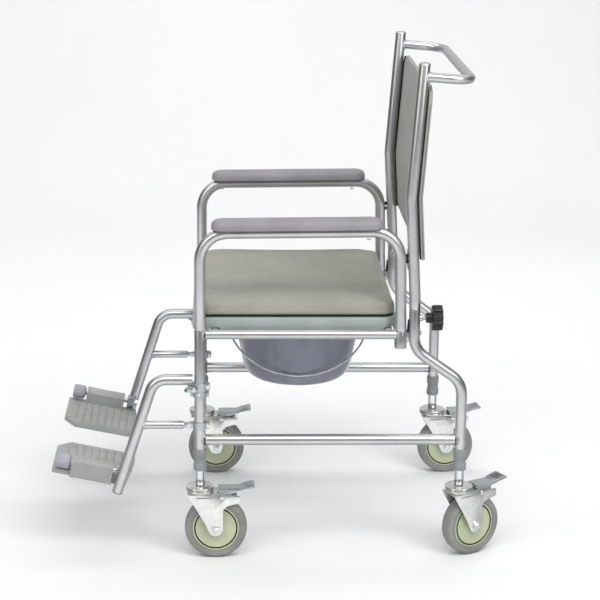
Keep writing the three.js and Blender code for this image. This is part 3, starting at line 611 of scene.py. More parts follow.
def back_post(x=HALF):
    """A back post, bent at the knee, with its spigot and the handle's bead."""
    line = bent([
        (x, POST_Y, POST_JOINT_Z + 0.3), (x, POST_Y, POST_JOINT_Z + 20), (x, KNEE_Y, KNEE_Z),
        (x, TOP_Y, TOP_Z - 4.5),
    ], 60, 2)
    post = tube(line, TUBE)
    post.join(bar("z", SPIGOT, POST_JOINT_Z - 34, POST_JOINT_Z + 3, x=x, y=POST_Y))
    root = (x, post_y(HANDLE_ROOT_Z), HANDLE_ROOT_Z)
    return post.join(weld(SMALL_TUBE, TUBE, root, (0, 1, -0.08), 2.2))


def post_cap(x=HALF):
    """The domed cap on a post."""
    z = TOP_Z - 4.6
    profile = [
        (10.6, z - 0.8), (11.5, z - 0.5), (11.7, z + 0.3), (11.5, z + 1.2), (10.6, z + 2.8),
        (8.6, z + 4.1), (5.6, z + 4.8), (2, z + 5.0),
    ]
    return lathe(profile).moved(shift(x, TOP_Y))


def push_handle():
    root = post_y(HANDLE_ROOT_Z)
    line = bent([
        (-HALF, root, HANDLE_ROOT_Z), (-HALF, HANDLE_Y, HANDLE_Z),
        (HALF, HANDLE_Y, HANDLE_Z), (HALF, root, HANDLE_ROOT_Z),
    ], 40, 5)
    return tube(line, SMALL_TUBE)


def ferrule(y, x=HALF):
    """The plastic bush at the foot of an outer leg, waisted in the middle."""
    z0, z1 = low("leg_ferrule_front_left").z, high("leg_ferrule_front_left").z
    profile = [
        (9.9, z0 + 0.4), (10.3, z0), (11.6, z0), (13.0, z0 + 1.4), (13.2, z0 + 3), (13.2, z0 + 14),
        (12.6, z0 + 15), (11.6, z0 + 16), (11.6, z0 + 25.6), (12.6, z0 + 26.8), (13.2, z0 + 28),
        (13.2, z1 - 2.4), (12.8, z1 - 0.8),
        (12.0, z1), (11.3, z1 - 0.2), (11.3, z0 + 4.0), (9.9, z0 + 3.6),
    ]
    return lathe(profile, closed=True).moved(shift(x, y))


def snap_button(y, x=HALF):
    """The spring button in its hole in the outer leg, facing the middle of the chair."""
    z = LEG_BOTTOM_Z + 52
    cup = [(3.4, 0), (3.9, 0.2), (3.9, 0.6), (3.2, 0.8), (3.0, 1.6), (2.2, 2.2), (0.8, 2.4)]
    return lathe(cup, 24).moved(shift(x - TUBE + 0.2, y, z) @ turn(-90, "Y"))


SIDE_RAILS = (
    ("lower_side_rail", "lower_rail", TUBE, LOWER_RAIL_Z),
    ("seat_side_rail", "seat_rail", SMALL_TUBE, SEAT_RAIL_Z),
)
SCREW = [(4.4, 0), (4.4, 0.8), (3.6, 2.0), (1.6, 2.6)]

for word, side in SIDES:
    stand_in(f"front_leg_{word}", on_side(front_leg(), side), "silver_tube", "frame")
    stand_in(f"rear_leg_{word}", on_side(rear_leg(), side), "silver_tube", "frame")
    for node, name, radius, z in SIDE_RAILS:
        node = f"{node}_{word}"
        rail = bar("y", radius, low(node).y, high(node).y, x=HALF, z=z)
        stand_in(node, on_side(rail, side), "silver_tube", "frame", name=f"{name}_{word}")
    stand_in(f"arm_socket_{word}", on_side(arm_socket(), side), "silver_tube", "frame")
    stand_in(f"arm_tube_{word}", on_side(arm_tube(), side), "silver_tube", f"armrest_{word}")
    pad_shape = arm_pad().moved(shift(side * HALF))
    pad = stand_in(f"arm_pad_{word}", pad_shape, "arm_foam", f"armrest_{word}", sharp=60)
    screws = Shape()
    for y in (FRONT_Y + 44, ARM_REAR_Y - 66):
        upside_down = shift(side * HALF, y, ARM_TOP_Z - TUBE + 0.4) @ turn(180, "X")
        screws.join(lathe(SCREW, 20).moved(upside_down))
    piece(f"arm_screws_{word}", screws, "bright_zinc", f"armrest_{word}")
    for end, y in (("front", FRONT_Y), ("rear", REAR_Y)):
        corner = f"{end}_{word}"
        leg = f"inner_leg_{corner}"
        inner = bar("z", SMALL_TUBE, low(leg).z, high(leg).z, x=side * HALF, y=y)
        stand_in(leg, inner, "bright_tube", f"leg_{corner}")
        stand_in(f"leg_ferrule_{corner}", ferrule(y, side * HALF), "grey_plastic", "frame")
        piece(f"leg_button_{corner}", on_side(snap_button(y), side), "bright_zinc", "frame")


def arm_buffers(x=HALF):
    """Two rubber buttons on the arm's rear tube that keep it off the post."""
    shape = Shape()
    for z in (612.5, 623.0):
        y = ARM_REAR_Y - ARM_LEAN * (z - ARM_JOINT_Z) / 199 + TUBE
        shape.join(lathe([(3.6, -0.6), (3.9, 0), (3.9, 2.0), (3.4, 2.9), (1.2, 3.1)], 20).moved(
            shift(x, y, z) @ turn(-90, "X")))
    return shape


def socket_bumper(x=HALF):
    """Rubber wedge between the arm's socket and the back post."""
    y0, y1 = ARM_REAR_Y + 12.3, POST_Y - TUBE - 0.3
    outline = [(y0, 469), (y1, 469), (y1, 477), (y1 - 0.2, 494), (y1 - 1.4, 496), (y0 + 0.6, 480), (y0, 476)]
    return plate(outline, x - 4, x + 4, "x", edge=0.5, corner=0.8)


def post_rivet(x=HALF):
    facing = shift(x, POST_Y + TUBE - 0.6, 467) @ turn(-90, "X")
    return lathe([(5.6, 0), (5.6, 0.9), (4.6, 2.6), (2.6, 3.6), (0.8, 3.9)], 28).moved(facing)


for word, side in SIDES:
    piece(f"arm_buffers_{word}", on_side(arm_buffers(), side), "black_rubber", f"armrest_{word}")
    piece(f"socket_bumper_{word}", on_side(socket_bumper(), side), "black_rubber", "frame")
    piece(f"post_rivet_{word}", on_side(post_rivet(), side), "silver_tube", "frame")

back = Shape().join(back_post(), back_post(-HALF), push_handle())
stand_in("back_frame", back, "silver_tube", "backrest")
piece("post_caps", Shape().join(post_cap(), post_cap(-HALF)), "silver_tube", "backrest")


# ------------------------------------------------------------------ castors
TRAIL = 31.6
AXLE_Z = 62.5
PIN_Y, PIN_Z = 44.0, 131.0


def castor_race():
    """Two pressed bowls, one over the other, with the balls' track between them."""
    profile = [
        (19, 137), (23.5, 137), (26.5, 138.4), (28.3, 141.2), (28.5, 143.0), (27.9, 144.0), (26.6, 144.4),
        (26.4, 145.4), (27.4, 145.8), (28.4, 146.6), (28.5, 147.8), (27.6, 149.2), (25.4, 149.9), (22.6, 150.2),
        (21.2, 150.9), (19.0, 151.7), (15.5, 152.0),
    ]
    rivets = Shape()
    for k in range(6):
        a = math.radians(60 * k + 20)
        rivets.join(lathe([(1.7, 0), (1.6, 0.5), (0.9, 0.9)], 14).moved(
            shift(24.0 * math.cos(a), 24.0 * math.sin(a), 149.8)))
    return lathe(profile, 64).join(rivets)


def castor_fork():
    """Pressed fork with ribbed cheeks, brake pin and axle; the stem is at the origin."""
    blade = [
        (-26, 137), (-20, 126), (8, 78), (17.6, 58), (22, 50.5), (31, 48), (40, 50.6), (46.1, 62), (46.1, 104),
        (54, 112), (80, 119), (80, 134), (40, 137),
    ]
    rib = [(-12, 131), (14, 86), (24, 66), (38, 66), (39, 104), (48, 118), (50, 130)]
    fork = Shape()
    for s in (-1, 1):
        near, far = sorted((s * 18.5, s * 21.0))
        fork.join(plate(blade, near, far, "x", edge=0.6, corner=5))
        near, far = sorted((s * 20.6, s * 21.7))
        fork.join(plate(rib, near, far, "x", edge=0.5, corner=5))
    fork.join(block(-20.6, 20.6, -25.4, 40, 134, 138, edge=1.6))
    fork.join(bar("x", 3, -21.6, 21.6, y=PIN_Y, z=PIN_Z, sides=20))
    for s in (-1, 1):
        facing = shift(s * 21.2, PIN_Y, PIN_Z) @ turn(90 * s, "Y")
        fork.join(lathe([(4.6, 0), (4.6, 0.7), (3.8, 1.7), (1.6, 2.2)], 24).moved(facing))
        facing = shift(s * 21.2, TRAIL, AXLE_Z) @ turn(90 * s, "Y")
        fork.join(washer(9.2, 0, 1.3, facing), hexagon(12.4, 1.2, 5.6, facing))
        fork.join(lathe([(4, 5), (4, 6.6), (3.2, 7.4)], 24).moved(facing))
    return fork.join(bar("x", 4, -21, 21, y=TRAIL, z=AXLE_Z, sides=24))


def wheel_turned(profile, closed=True, sides=96):
    return lathe(profile, sides, closed).moved(shift(0, TRAIL, AXLE_Z) @ ALONG_X)


def castor_tyre():
    half = [
        (47.3, 13.2), (49, 14.4), (51.2, 15.0), (52, 14.6), (52.8, 15.2), (55.5, 15.9),
        (58.4, 15.2), (60.6, 13.0), (61.9, 9.6), (62.4, 5.4), (62.5, 1.6),
    ]
    return wheel_turned(half + [(r, -h) for r, h in reversed(half)])


def castor_hub():
    half = [(4.4, 15.4), (9, 15.5), (12.2, 15.3), (13.2, 14.4), (14, 11.6), (17, 10.6), (24, 10.0), (33, 10.4),
            (37.6, 11.4), (39.4, 12.4), (43.8, 12.6), (45.8, 13.2), (46.8, 12.6)]
    return wheel_turned(half + [(r, -h) for r, h in reversed(half)])


# Thin black rings on both faces of the hub: painted shade standing for the dark groove seen there
def wheel_groove_shade():
    rings = Shape()
    for s in (-1, 1):
        loop = [(40.6, 12.0), (40.8, 13.0), (41.6, 13.5), (42.8, 13.5), (43.5, 13.0), (43.6, 12.0)]
        rings.join(wheel_turned([(r, s * h) for r, h in loop]))
    return rings


def brake_pedal():
    """A folded treadle: flat plate, step, and a turned-up toe with pressed ribs; shoe underneath."""
    tread = [(36, 142), (80, 142), (86, 145), (108, 149), (109.5, 152), (107, 154.4), (84, 149), (79, 145.6),
             (36, 145.6)]
    pedal = plate(tread, -17, 17, "x", edge=0.8, corner=1.6)
    for k in range(4):
        y = 88 + 4.6 * k
        z = 150.2 + (y - 84) * 0.24
        pedal.join(bar("x", 1.1, -13, 13, y=y, z=z, sides=12))
    cheek = [(37.5, 143), (37.8, 130), (41, 126), (47, 126), (52, 131), (72, 141), (72, 143.5)]
    for s in (-1, 1):
        near, far = sorted((s * 14.2, s * 17))
        pedal.join(plate(cheek, near, far, "x", edge=0.5, corner=3))
    pedal.join(plate([(60, 143), (60, 126), (63, 122.4), (71, 122.4), (74, 126), (74, 143)], -11, 11, "x",
                     edge=0.8, corner=2))
    return pedal


def castor_place(corner):
    """A castor's stem in plan and its swivel in degrees, read from where its tyre stands."""
    stem = middle(f"inner_leg_{corner}")
    wheel = middle(f"castor_tyre_{corner}")
    return stem.x, stem.y, math.degrees(math.atan2(-(wheel.x - stem.x), wheel.y - stem.y))


for end in ("front", "rear"):
    for word, _ in SIDES:
        corner = f"{end}_{word}"
        x, y, swivel = castor_place(corner)
        at = shift(x, y) @ turn(swivel, "Z")
        head = castor_fork().join(castor_race())
        stand_in(f"castor_fork_{corner}", head.moved(at), "bright_zinc", f"castor_{corner}")
        stand_in(f"castor_tyre_{corner}", castor_tyre().moved(at), "tyre_rubber", f"wheel_{corner}")
        stand_in(f"castor_hub_{corner}", castor_hub().moved(at), "wheel_plastic", f"wheel_{corner}")
        # black band of painted shade for the hub's groove
        piece(f"wheel_groove_shade_{corner}", wheel_groove_shade().moved(at), "black_rubber", f"wheel_{corner}")
        stand_in(f"brake_pedal_{corner}", brake_pedal().moved(at), "dull_zinc", f"brake_{corner}")


# ------------------------------------------------------------------ footrests
HANGER_KNEE = (FRONT_Y - 91, 371)
HANGER_FOOT = (FRONT_Y - 166, 136)
STRUT_Z = 277
SPINDLE = (222, FRONT_Y - 168, 174)
PITCHED = shift(*SPINDLE) @ turn(-11.5, "X")


def hanger(x=HALF):
    """The footrest's tube, strut and flattened neck."""
    slope = (HANGER_KNEE[0] - HANGER_FOOT[0]) / (HANGER_KNEE[1] - HANGER_FOOT[1])
    line = bent([(x, FRONT_Y - 14.5, HANGER_KNEE[1]), (x, *HANGER_KNEE), (x, *HANGER_FOOT)], 34, 5)
    shape = tube(line, TUBE)
    start = HANGER_KNEE[0] - slope * (HANGER_KNEE[1] - STRUT_Z)
    shape.join(bar("y", 8, start, FRONT_Y - 31, x=x, z=STRUT_Z, edge=3.2))
    shape.join(weld(8, TUBE, (x, start, STRUT_Z), (0, 1, 0), 1.6))
    neck = [(FRONT_Y - 34, STRUT_Z - 5.0), (FRONT_Y - 29, STRUT_Z - 4.6), (FRONT_Y - 13, STRUT_Z - 7.6),
            (FRONT_Y - 11, STRUT_Z - 7), (FRONT_Y - 11, STRUT_Z + 7), (FRONT_Y - 13, STRUT_Z + 7.6),
            (FRONT_Y - 29, STRUT_Z + 4.6), (FRONT_Y - 34, STRUT_Z + 5.0)]
    shape.join(plate(neck, x - 3, x + 3, "x", edge=0.8, corner=2))
    return shape


def collar(z0, z1, radius, x=HALF):
    inner = TUBE + 0.35
    return lathe([
        (inner, z0 + 0.3), (inner + 0.3, z0), (radius - 0.6, z0), (radius, z0 + 0.6), (radius, z1 - 0.6),
        (radius - 0.6, z1), (inner + 0.3, z1), (inner, z1 - 0.3),
    ], closed=True).moved(shift(x, FRONT_Y))


def hanger_brackets(x=HALF):
    """The two rings that turn on the leg, with their lugs; their bolts are drawn by hanger_bolts()."""
    shape = collar(STRUT_Z - 7, STRUT_Z + 7, 14.3, x).join(collar(348, 365, 15, x))
    shape.join(block(x - 5, x + 5, FRONT_Y + 12, FRONT_Y + 20, STRUT_Z - 7, STRUT_Z + 7))
    shape.join(block(x - 7, x + 7, FRONT_Y - 24, FRONT_Y - 13, 348.3, 364.8, edge=1.2))
    for s in (-1, 1):
        a, b = sorted((x + s * 1.6, x + s * 5.8))
        shape.join(block(a, b, FRONT_Y + 12, FRONT_Y + 20, 350, 364, edge=0.9))
    return shape


def hanger_bolts(x=HALF):
    shape = Shape()
    for y, z, reach in ((FRONT_Y + 16, STRUT_Z, 5), (FRONT_Y + 16, 357, 5.8), (FRONT_Y - 22, STRUT_Z, 3)):
        facing = shift(x + reach, y, z) @ turn(90, "Y")
        shape.join(washer(5.0, -0.2, 0.8, facing), hexagon(7, 0.6, 4.0, facing))
        facing = shift(x - reach, y, z) @ turn(-90, "Y")
        shape.join(lathe([(3.9, -0.2), (3.9, 1.2), (3.0, 2.2), (1.2, 2.6)], 20).moved(facing))
    shape.join(bar("x", 2.4, x + 14, x + 21.6, y=FRONT_Y - 12, z=355, sides=18))
    facing = shift(x + 20.7, FRONT_Y - 12, 355) @ turn(90, "Y")
    return shape.join(lathe([(3.8, 0), (3.8, 0.3), (3.2, 0.9), (1.2, 1.2)], 20).moved(facing))


def hanger_latch(x=HALF):
    shape = collar(336, 347.5, 14.3, x)
    shape.join(block(x - 4, x + 4, FRONT_Y - 19, FRONT_Y - 13, 336.3, 347.3, edge=0.9))
    for s in (-1, 1):
        a, b = sorted((x + s * 1.2, x + s * 5.6))
        shape.join(block(a, b, FRONT_Y + 12, FRONT_Y + 18, 336, 347.5, edge=0.8))
    return shape


def latch_bolt(x=HALF):
    facing = shift(x + 14, FRONT_Y - 2, 341.8) @ turn(90, "Y")
    return lathe([(3.4, -0.6), (3.4, 0.6), (2.6, 1.6), (1.0, 2.0)], 20).moved(facing)


def release_lever(x=HALF):
    """A pressed thumb lever with a rolled tip."""
    pin = FRONT_Y - 12
    outline = [(pin - 19, 357), (pin - 18.6, 350.6), (pin - 8, 349.6), (pin + 2, 349.4), (pin + 6, 352),
               (pin + 6, 358), (pin + 2, 361), (pin - 13, 361.8)]
    lever = plate(outline, x + 15.7, x + 20.4, "x", edge=1.6, corner=3.4)
    return lever.join(bar("x", 3.0, x + 15.7, x + 20.4, y=pin - 15.6, z=354.6, sides=24, edge=0.8))


def hanger_plug(x=HALF):
    """Plastic plug in the lower end of the hanger tube."""
    slope = math.degrees(math.atan2(HANGER_KNEE[0] - HANGER_FOOT[0], HANGER_KNEE[1] - HANGER_FOOT[1]))
    at = shift(x, *HANGER_FOOT) @ turn(-slope, "X")
    return lathe([(9.0, 6), (10.6, 0.2), (10.8, -0.4), (10.2, -1.6), (7.0, -2.6), (2.0, -2.9)]).moved(at)


def spindle_lug(x=HALF):
    x0, x1 = SPINDLE[0] - 9, x - 4
    y, z = SPINDLE[1], SPINDLE[2]
    return block(x0, x1, y + 1, y + 17, z - 11, z + 9, edge=1.4)


def footplate_tray():
    """The moulded plate: a dished tray with a rim and a ribbed tread; its raised sleeve is drawn by
    footplate_sleeve().
    """
    outline = [(4, -128), (4, 23), (-119, 35), (-147, 35), (-159, 11), (-159, -104), (-127, -128)]
    tray = plate(outline, -28, -17.2, "z", edge=1.6, corner=7, steps=5)
    pitch, first = 15.7, -102.0
    edges = [-126.0] + [first + pitch * k for k in range(9)] + [33.0]
    for a, b in zip(edges, edges[1:]):
        y0, y1 = a + 0.9, b - 0.9
        left = -157.2 + max(0.0, (-104 - a) * 1.25) + max(0.0, (b - 13) * 0.5)
        right = -17.5 if y1 < 24 else -60
        if y1 - y0 < 3:
            continue
        tray.join(block(left, right, y0, y1, -18, -16.0, edge=0.6))
    return tray


def footplate_sleeve():
    section = [(-15, -27), (15, -27), (15, 8), (11, 12), (-9, 12), (-15, 6)]
    body = plate([(b, a) for a, b in section], -90, -8, "y", edge=1.6, corner=5, steps=5)
    for y0, y1 in ((-91, -84), (-14, -7)):
        body.join(plate([(b * 1.03, a * 1.03) for a, b in section], y0, y1, "y", edge=1.0, corner=5, steps=5))
    return body


def sleeve_pins():
    pins = Shape()
    for y in (-82, -16):
        pins.join(bar("z", 1.6, -33.0, -20, x=10, y=y, sides=14))
    return pins


def end_cap():
    profile = [
        (9.6, 94), (12.4, 95), (15.0, 98.4), (15.3, 100), (15.3, 117), (14.8, 119.4), (13.2, 121.4),
        (9, 122), (4, 122),
    ]
    return lathe(profile, 120, flutes=20, flute_depth=0.9).moved(turn(90, "X"))


def spindle():
    shape = bar("y", 5, -96, 24, sides=24)
    shape.join(hexagon(12, 17, 23.4, ALONG_Y))
    return shape.join(washer(8.4, 15.2, 16.9, ALONG_Y))


for word, side in SIDES:
    body = f"footrest_{word}"
    stand_in(f"footrest_hanger_{word}", on_side(hanger(), side), "silver_tube", body)
    piece(f"hanger_brackets_{word}", on_side(hanger_brackets().join(spindle_lug()), side), "dull_zinc", body)
    piece(f"hanger_bolts_{word}", on_side(hanger_bolts(), side), "bright_zinc", body)
    piece(f"hanger_plug_{word}", on_side(hanger_plug(), side), "black_plastic", body)
    stand_in(f"hanger_latch_{word}", on_side(hanger_latch(), side), "dull_zinc", "frame")
    piece(f"latch_bolt_{word}", on_side(latch_bolt(), side), "bright_zinc", "frame")
    stand_in(f"hanger_release_lever_{word}", on_side(release_lever(), side), "dull_zinc",
             f"footrest_lever_{word}", name=f"release_lever_{word}")
    stand_in(f"footplate_spindle_{word}", on_side(spindle().moved(PITCHED), side), "bright_zinc", body)
    stand_in(f"footplate_end_cap_{word}", on_side(end_cap().moved(PITCHED), side), "lilac_plastic", body,
             name=f"footplate_cap_{word}")
    tray = footplate_tray().join(footplate_sleeve())
    plate_body = f"footplate_{word}"
    stand_in(plate_body, on_side(tray.moved(PITCHED), side), "footplate_plastic", plate_body)
    piece(f"sleeve_pins_{word}", on_side(sleeve_pins().moved(PITCHED), side), "bright_zinc", plate_body)


# ------------------------------------------------------------------ back panel and knobs
def knob():
    """Ten-lobed hand knob: a hub and a dished grip, drawn along +Z from the leg."""
    grip = [
        (9.5, 33.5), (22.0, 33.5), (25.0, 34.6), (25.9, 36.6), (26.0, 44), (25.9, 51.4), (25.0, 53.4),
        (22.6, 54.5), (16, 53.6), (11, 53.0), (6, 53.0),
    ]
    shape = lathe(grip, 160, flutes=10, flute_depth=3.6)
    shape.join(lathe([(7, 22.2), (9.6, 22.4), (10, 23.4), (10, 32), (11.4, 34)], 48))
    return shape


for word, side in SIDES:
    at = shift(side * HALF, POST_Y, KNOB_Z) @ ALONG_Y
    stand_in(f"back_knob_{word}", knob().moved(at), "black_plastic", f"knob_{word}")
    stud = bar("z", 4, 10.4, 26, sides=24)
    for k in range(11):
        stud.join(lathe([(4.0, 10.8 + k), (4.35, 11.2 + k), (4.0, 11.6 + k)], 24))
    piece(f"knob_stud_{word}", stud.moved(at), "bright_zinc", f"knob_{word}")


PANEL_DEPTH = 13.0
PANEL = {"low": low("back_panel").z, "high": high("back_panel").z, "half": high("back_panel").x}


def back_panel():
    """Two faces of coated cloth over foam with a boxed edge between them, pulled round both posts."""
    columns, rows, band = 73, 53, 5
    half, z0, z1 = PANEL["half"] - 1.2, PANEL["low"] + 1.2, PANEL["high"] - 1.2
    near, far = TUBE + 0.9, TUBE + 0.5 + PANEL_DEPTH - 0.6
    size = columns * rows
    grid = []
    for j in range(rows):
        v = j / (rows - 1)
        z = z0 + (z1 - z0) * v
        for i in range(columns):
            u = math.sin(math.pi / 2 * (-1 + 2 * i / (columns - 1)))
            corner = max(0.0, z - (z1 - 30)) / 30
            reach = half - 30 * (1 - math.sqrt(max(0.0, 1 - corner**2)))
            grid.append((u * reach, z, min(1 - abs(u), min(v, 1 - v) * 1.5)))
    front, rear = [], []
    for x, z, edge in grid:
        fat = 1 - math.exp(-edge * 22)
        creases = noise.noise(Vector((x * 0.035, z * 0.006, 3.1)))
        creases += 0.5 * noise.noise(Vector((x * 0.09, z * 0.012, 7.7)))
        drape = math.exp(-((abs(x) - 212) / 20) ** 2)
        y = post_y(z)
        front.append((x, y + near + 2.2 - fat * 2.0 + 0.6 * fat * creases + 0.5 * drape, z))
        rear.append((x, y + far - 2.2 + fat * 2.0 + 0.7 * fat * creases - 0.6 * drape, z))
    shape = Shape()
    shape.points = [Vector(p) for p in front + rear]
    for j in range(rows - 1):
        for i in range(columns - 1):
            a = j * columns + i
            shape.faces.append((a, a + 1, a + columns + 1, a + columns))
            b = a + size
            shape.faces.append((b, b + columns, b + columns + 1, b + 1))
    border = list(range(columns)) + [j * columns + columns - 1 for j in range(1, rows)]
    border += [(rows - 1) * columns + i for i in range(columns - 2, -1, -1)]
    border += [j * columns for j in range(rows - 2, 0, -1)]
    loops = [border]
    for k in range(1, band):
        t = k / band
        start = len(shape.points)
        for index in border:
            a, b = shape.points[index], shape.points[index + size]
            out = Vector((a.x / half, 0, (a.z - (z0 + z1) / 2) / ((z1 - z0) / 2)))
            out = Vector((math.copysign(abs(out.x) ** 8, out.x), 0, math.copysign(abs(out.z) ** 8, out.z)))
            shape.points.append(a.lerp(b, t) + out * 1.1 * math.sin(math.pi * t))
        loops.append(list(range(start, start + len(border))))
    loops.append([index + size for index in border])
    for first, second in zip(loops, loops[1:]):
        for k in range(len(border)):
            m = (k + 1) % len(border)
            shape.faces.append((first[k], first[m], second[m], second[k]))
    return shape


panel = stand_in("back_panel", back_panel(), "back_cloth", "backrest", sharp=50)
piping = Shape()
stitches = Shape()
for _, side in SIDES:
    x = side * (PANEL["half"] - 1.6)
    z0, z1 = PANEL["low"] + 2, PANEL["high"] - 30
    line = [(x, post_y(z) + TUBE + 1.9, z) for z in (z0 + (z1 - z0) * k / 40 for k in range(41))]
    for k in range(1, 7):
        a = math.radians(12 * k)
        z = z1 + 28 * math.sin(a)
        line.append((side * (PANEL["half"] - 31.6 + 30 * math.cos(a)), post_y(z) + TUBE + 1.9, z))
    piping.join(tube(line, 1.6, 14, 0.6))
    count = 52
    for k in range(count):
        a = z0 + 6 + (z1 - z0 - 8) * k / count
        b = a + (z1 - z0 - 8) / count * 0.62
        ends = [Vector((side * (PANEL["half"] + 0.25), post_y(z) + TUBE + 7.6, z)) for z in (a, b)]
        bulge = ends[0].lerp(ends[1], 0.5) + Vector((side * 0.5, 0, 0))
        stitches.join(tube([ends[0], bulge, ends[1]], 0.6, 8, 0.3))
for z in (PANEL["low"] + 12, PANEL["high"] - 12):
    for k in range(64):
        x0 = -205 + 410 * k / 64
        ends = [Vector((x, post_y(z) + TUBE + PANEL_DEPTH + 0.2, z)) for x in (x0, x0 + 4.0)]
        stitches.join(tube([ends[0], ends[0].lerp(ends[1], 0.5) + Vector((0, 0.4, 0)), ends[1]], 0.55, 8, 0.3))
piece("back_piping", piping, "black_rubber", "backrest")
piece("back_stitches", stitches, "thread", "backrest")


# ------------------------------------------------------------------ seat, lid and cushion
SEAT = {
    "x": high("commode_seat").x, "y0": low("commode_seat").y, "y1": high("commode_seat").y,
    "z0": low("commode_seat").z, "z1": high("commode_seat").z,
}
PAIL_Y = middle("pail").y
CROSS_YS = (FRONT_Y + 30, FRONT_Y + 372)
SEAT_CORNER = 30.0


def seat_outline(margin, count=12):
    """The seat's outline drawn in by margin, anticlockwise from its +X side."""
    half, y0, y1 = SEAT["x"] - margin, SEAT["y0"] + margin, SEAT["y1"] - margin
    r = SEAT_CORNER - margin
    line = []
    centres = (
        (half - r, y1 - r, 0), (-half + r, y1 - r, 90), (-half + r, y0 + r, 180), (half - r, y0 + r, 270),
    )
    for cx, cy, start in centres:
        for k in range(count + 1):
            a = math.radians(start + 90 * k / count)
            line.append(Vector((cx + r * math.cos(a), cy + r * math.sin(a))))
    return line


def outline_at(angle, outline):
    """Where a ray from the pail's centre meets the outline."""
    d = Vector((math.cos(angle), math.sin(angle)))
    for a, b in zip(outline, outline[1:] + outline[:1]):
        p, q = a - Vector((0, PAIL_Y)), b - Vector((0, PAIL_Y))
        cross = (q.x - p.x) * d.y - (q.y - p.y) * d.x
        if abs(cross) < 1e-9:
            continue
        t = (p.y * d.x - p.x * d.y) / cross
        s = (p.x + (q.x - p.x) * t) * d.x + (p.y + (q.y - p.y) * t) * d.y
        if -1e-6 <= t <= 1 + 1e-6 and s > 0:
            return d * s + Vector((0, PAIL_Y))
    return Vector((0, PAIL_Y)) + d * 100


def commode_seat():
    """Blow-moulded seat: a ring with rounded rims, an oval opening and a notched skirt."""
    outline = seat_outline(0)
    skirt, z0, z1 = SEAT["z0"], SEAT_RAIL_Z + SMALL_TUBE + 0.4, SEAT["z1"]
    rings = []
    for k in range(360):
        a = 2 * math.pi * k / 360
        out = outline_at(a, outline)
        hole = Vector((98 * math.cos(a), PAIL_Y + 122 * math.sin(a)))
        d = (out - hole).normalized()
        width = (out - hole).length
        notched = any(abs(out.y - y) < 11.5 for y in CROSS_YS) and abs(out.x) > 200
        foot = z0 if notched else skirt
        section = [
            (2.5, z0), (0.7, z0 + 1.8), (0, z0 + 5), (0, z1 - 8), (1.2, z1 - 3.4), (4.5, z1 - 0.9), (10, z1),
            (width * 0.5, z1), (width - 12, z1), (width - 4.4, z1 - 0.4), (width - 1.5, z1 - 1.7),
            (width - 0.3, z1 - 4), (width, z1 - 8), (width, foot + 1.4), (width - 0.5, foot + 0.4),
            (width - 1.2, foot), (width - 2.4, foot), (width - 2.9, foot + 0.5), (width - 3.0, z0),
            (width * 0.5, z0),
        ]
        rings.append([(*(hole + d * s), z) for s, z in section])
    return Shape().rings(rings, closed=True)


stand_in("commode_seat", commode_seat(), "seat_plastic", "commode_seat")
board = plate(seat_outline(5), low("seat_board").z, high("seat_board").z, edge=0.6)
stand_in("seat_board", board, "black_plastic", "cushion")


def cushion_start():
    """The lid's pad before it is filled: a slab with square sides and a slightly crowned top."""
    base, top = low("seat_cushion").z + 0.4, high("seat_cushion").z
    layers = [
        (4.6, base), (2.8, base + 2.0), (2.4, top - 10), (4.0, top - 7), (9, top - 4.8), (26, top - 3.6),
    ]
    rings = [[(p.x, p.y, z) for p in seat_outline(margin)] for margin, z in layers]
    inner = seat_outline(26)
    for share, z in ((0.75, top - 2.8), (0.5, top - 2.3)):
        rings.append([(p.x * share, 22 + (p.y - 22) * share, z) for p in inner])
    return Shape().rings(rings)


def filled(obj, pressure, cap, held_below, last=18, voxel=0.005):
    """Fills a pad with air as cloth and keeps the result; no point moves further than cap."""
    view = bpy.context.view_layer
    remesh = obj.modifiers.new("remesh", "REMESH")
    remesh.mode = "VOXEL"
    remesh.voxel_size = voxel
    view.update()
    even = bpy.data.meshes.new_from_object(obj.evaluated_get(bpy.context.evaluated_depsgraph_get()))
    obj.modifiers.clear()
    even.materials.clear()
    for material in obj.data.materials:
        even.materials.append(material)
    obj.data = even
    group = obj.vertex_groups.new(name="held")
    group.add([v.index for v in even.vertices if v.co.z < held_below], 1.0, "REPLACE")
    start = [v.co.copy() for v in even.vertices]
    cloth = obj.modifiers.new("cloth", "CLOTH")
    cloth.settings.vertex_group_mass = "held"
    cloth.settings.use_pressure = True
    cloth.settings.uniform_pressure_force = pressure
    cloth.settings.effector_weights.gravity = 0
    cloth.settings.quality = 5
    cloth.settings.mass = 0.4
    cloth.settings.tension_stiffness = 22
    cloth.settings.bending_stiffness = 0.6
    cloth.point_cache.frame_start = 1
    cloth.point_cache.frame_end = last
    for step in range(1, last + 1):
        scene.frame_set(step)
    swollen = obj.evaluated_get(bpy.context.evaluated_depsgraph_get()).to_mesh()
    ends = [v.co.copy() for v in swollen.vertices]
    obj.modifiers.clear()
    scene.frame_set(1)
    for vertex, a, b in zip(even.vertices, start, ends):
        move = b - a
        if move.length > cap:
            move *= cap / move.length
        vertex.co = a + move


def finish_cushion(obj):
    """Adds the seam round the top edge and keeps the pad in its own space."""
    mesh = obj.data
    base, top = low("seat_cushion").z * MM + 0.0004, high("seat_cushion").z * MM
    seam_z = base + 0.0205
    limit_x = (SEAT["x"] + 1.0) * MM
    for vertex in mesh.vertices:
        p = vertex.co
        n = vertex.normal
        side = 1 - abs(n.z)
        groove = math.exp(-((p.z - seam_z) / 0.0016) ** 2) * max(0.0, side)
        flat = Vector((n.x, n.y, 0))
        if flat.length > 0.01:
            p -= flat.normalized() * 0.0018 * groove
        crease = noise.noise(p * 9.0 + Vector((2.0, 5.0, 1.0))) * 0.0011
        if n.z > 0.5:
            p.z += crease
        p.z = min(max(p.z, base), top + 0.004)
        p.x = min(max(p.x, -limit_x), limit_x)


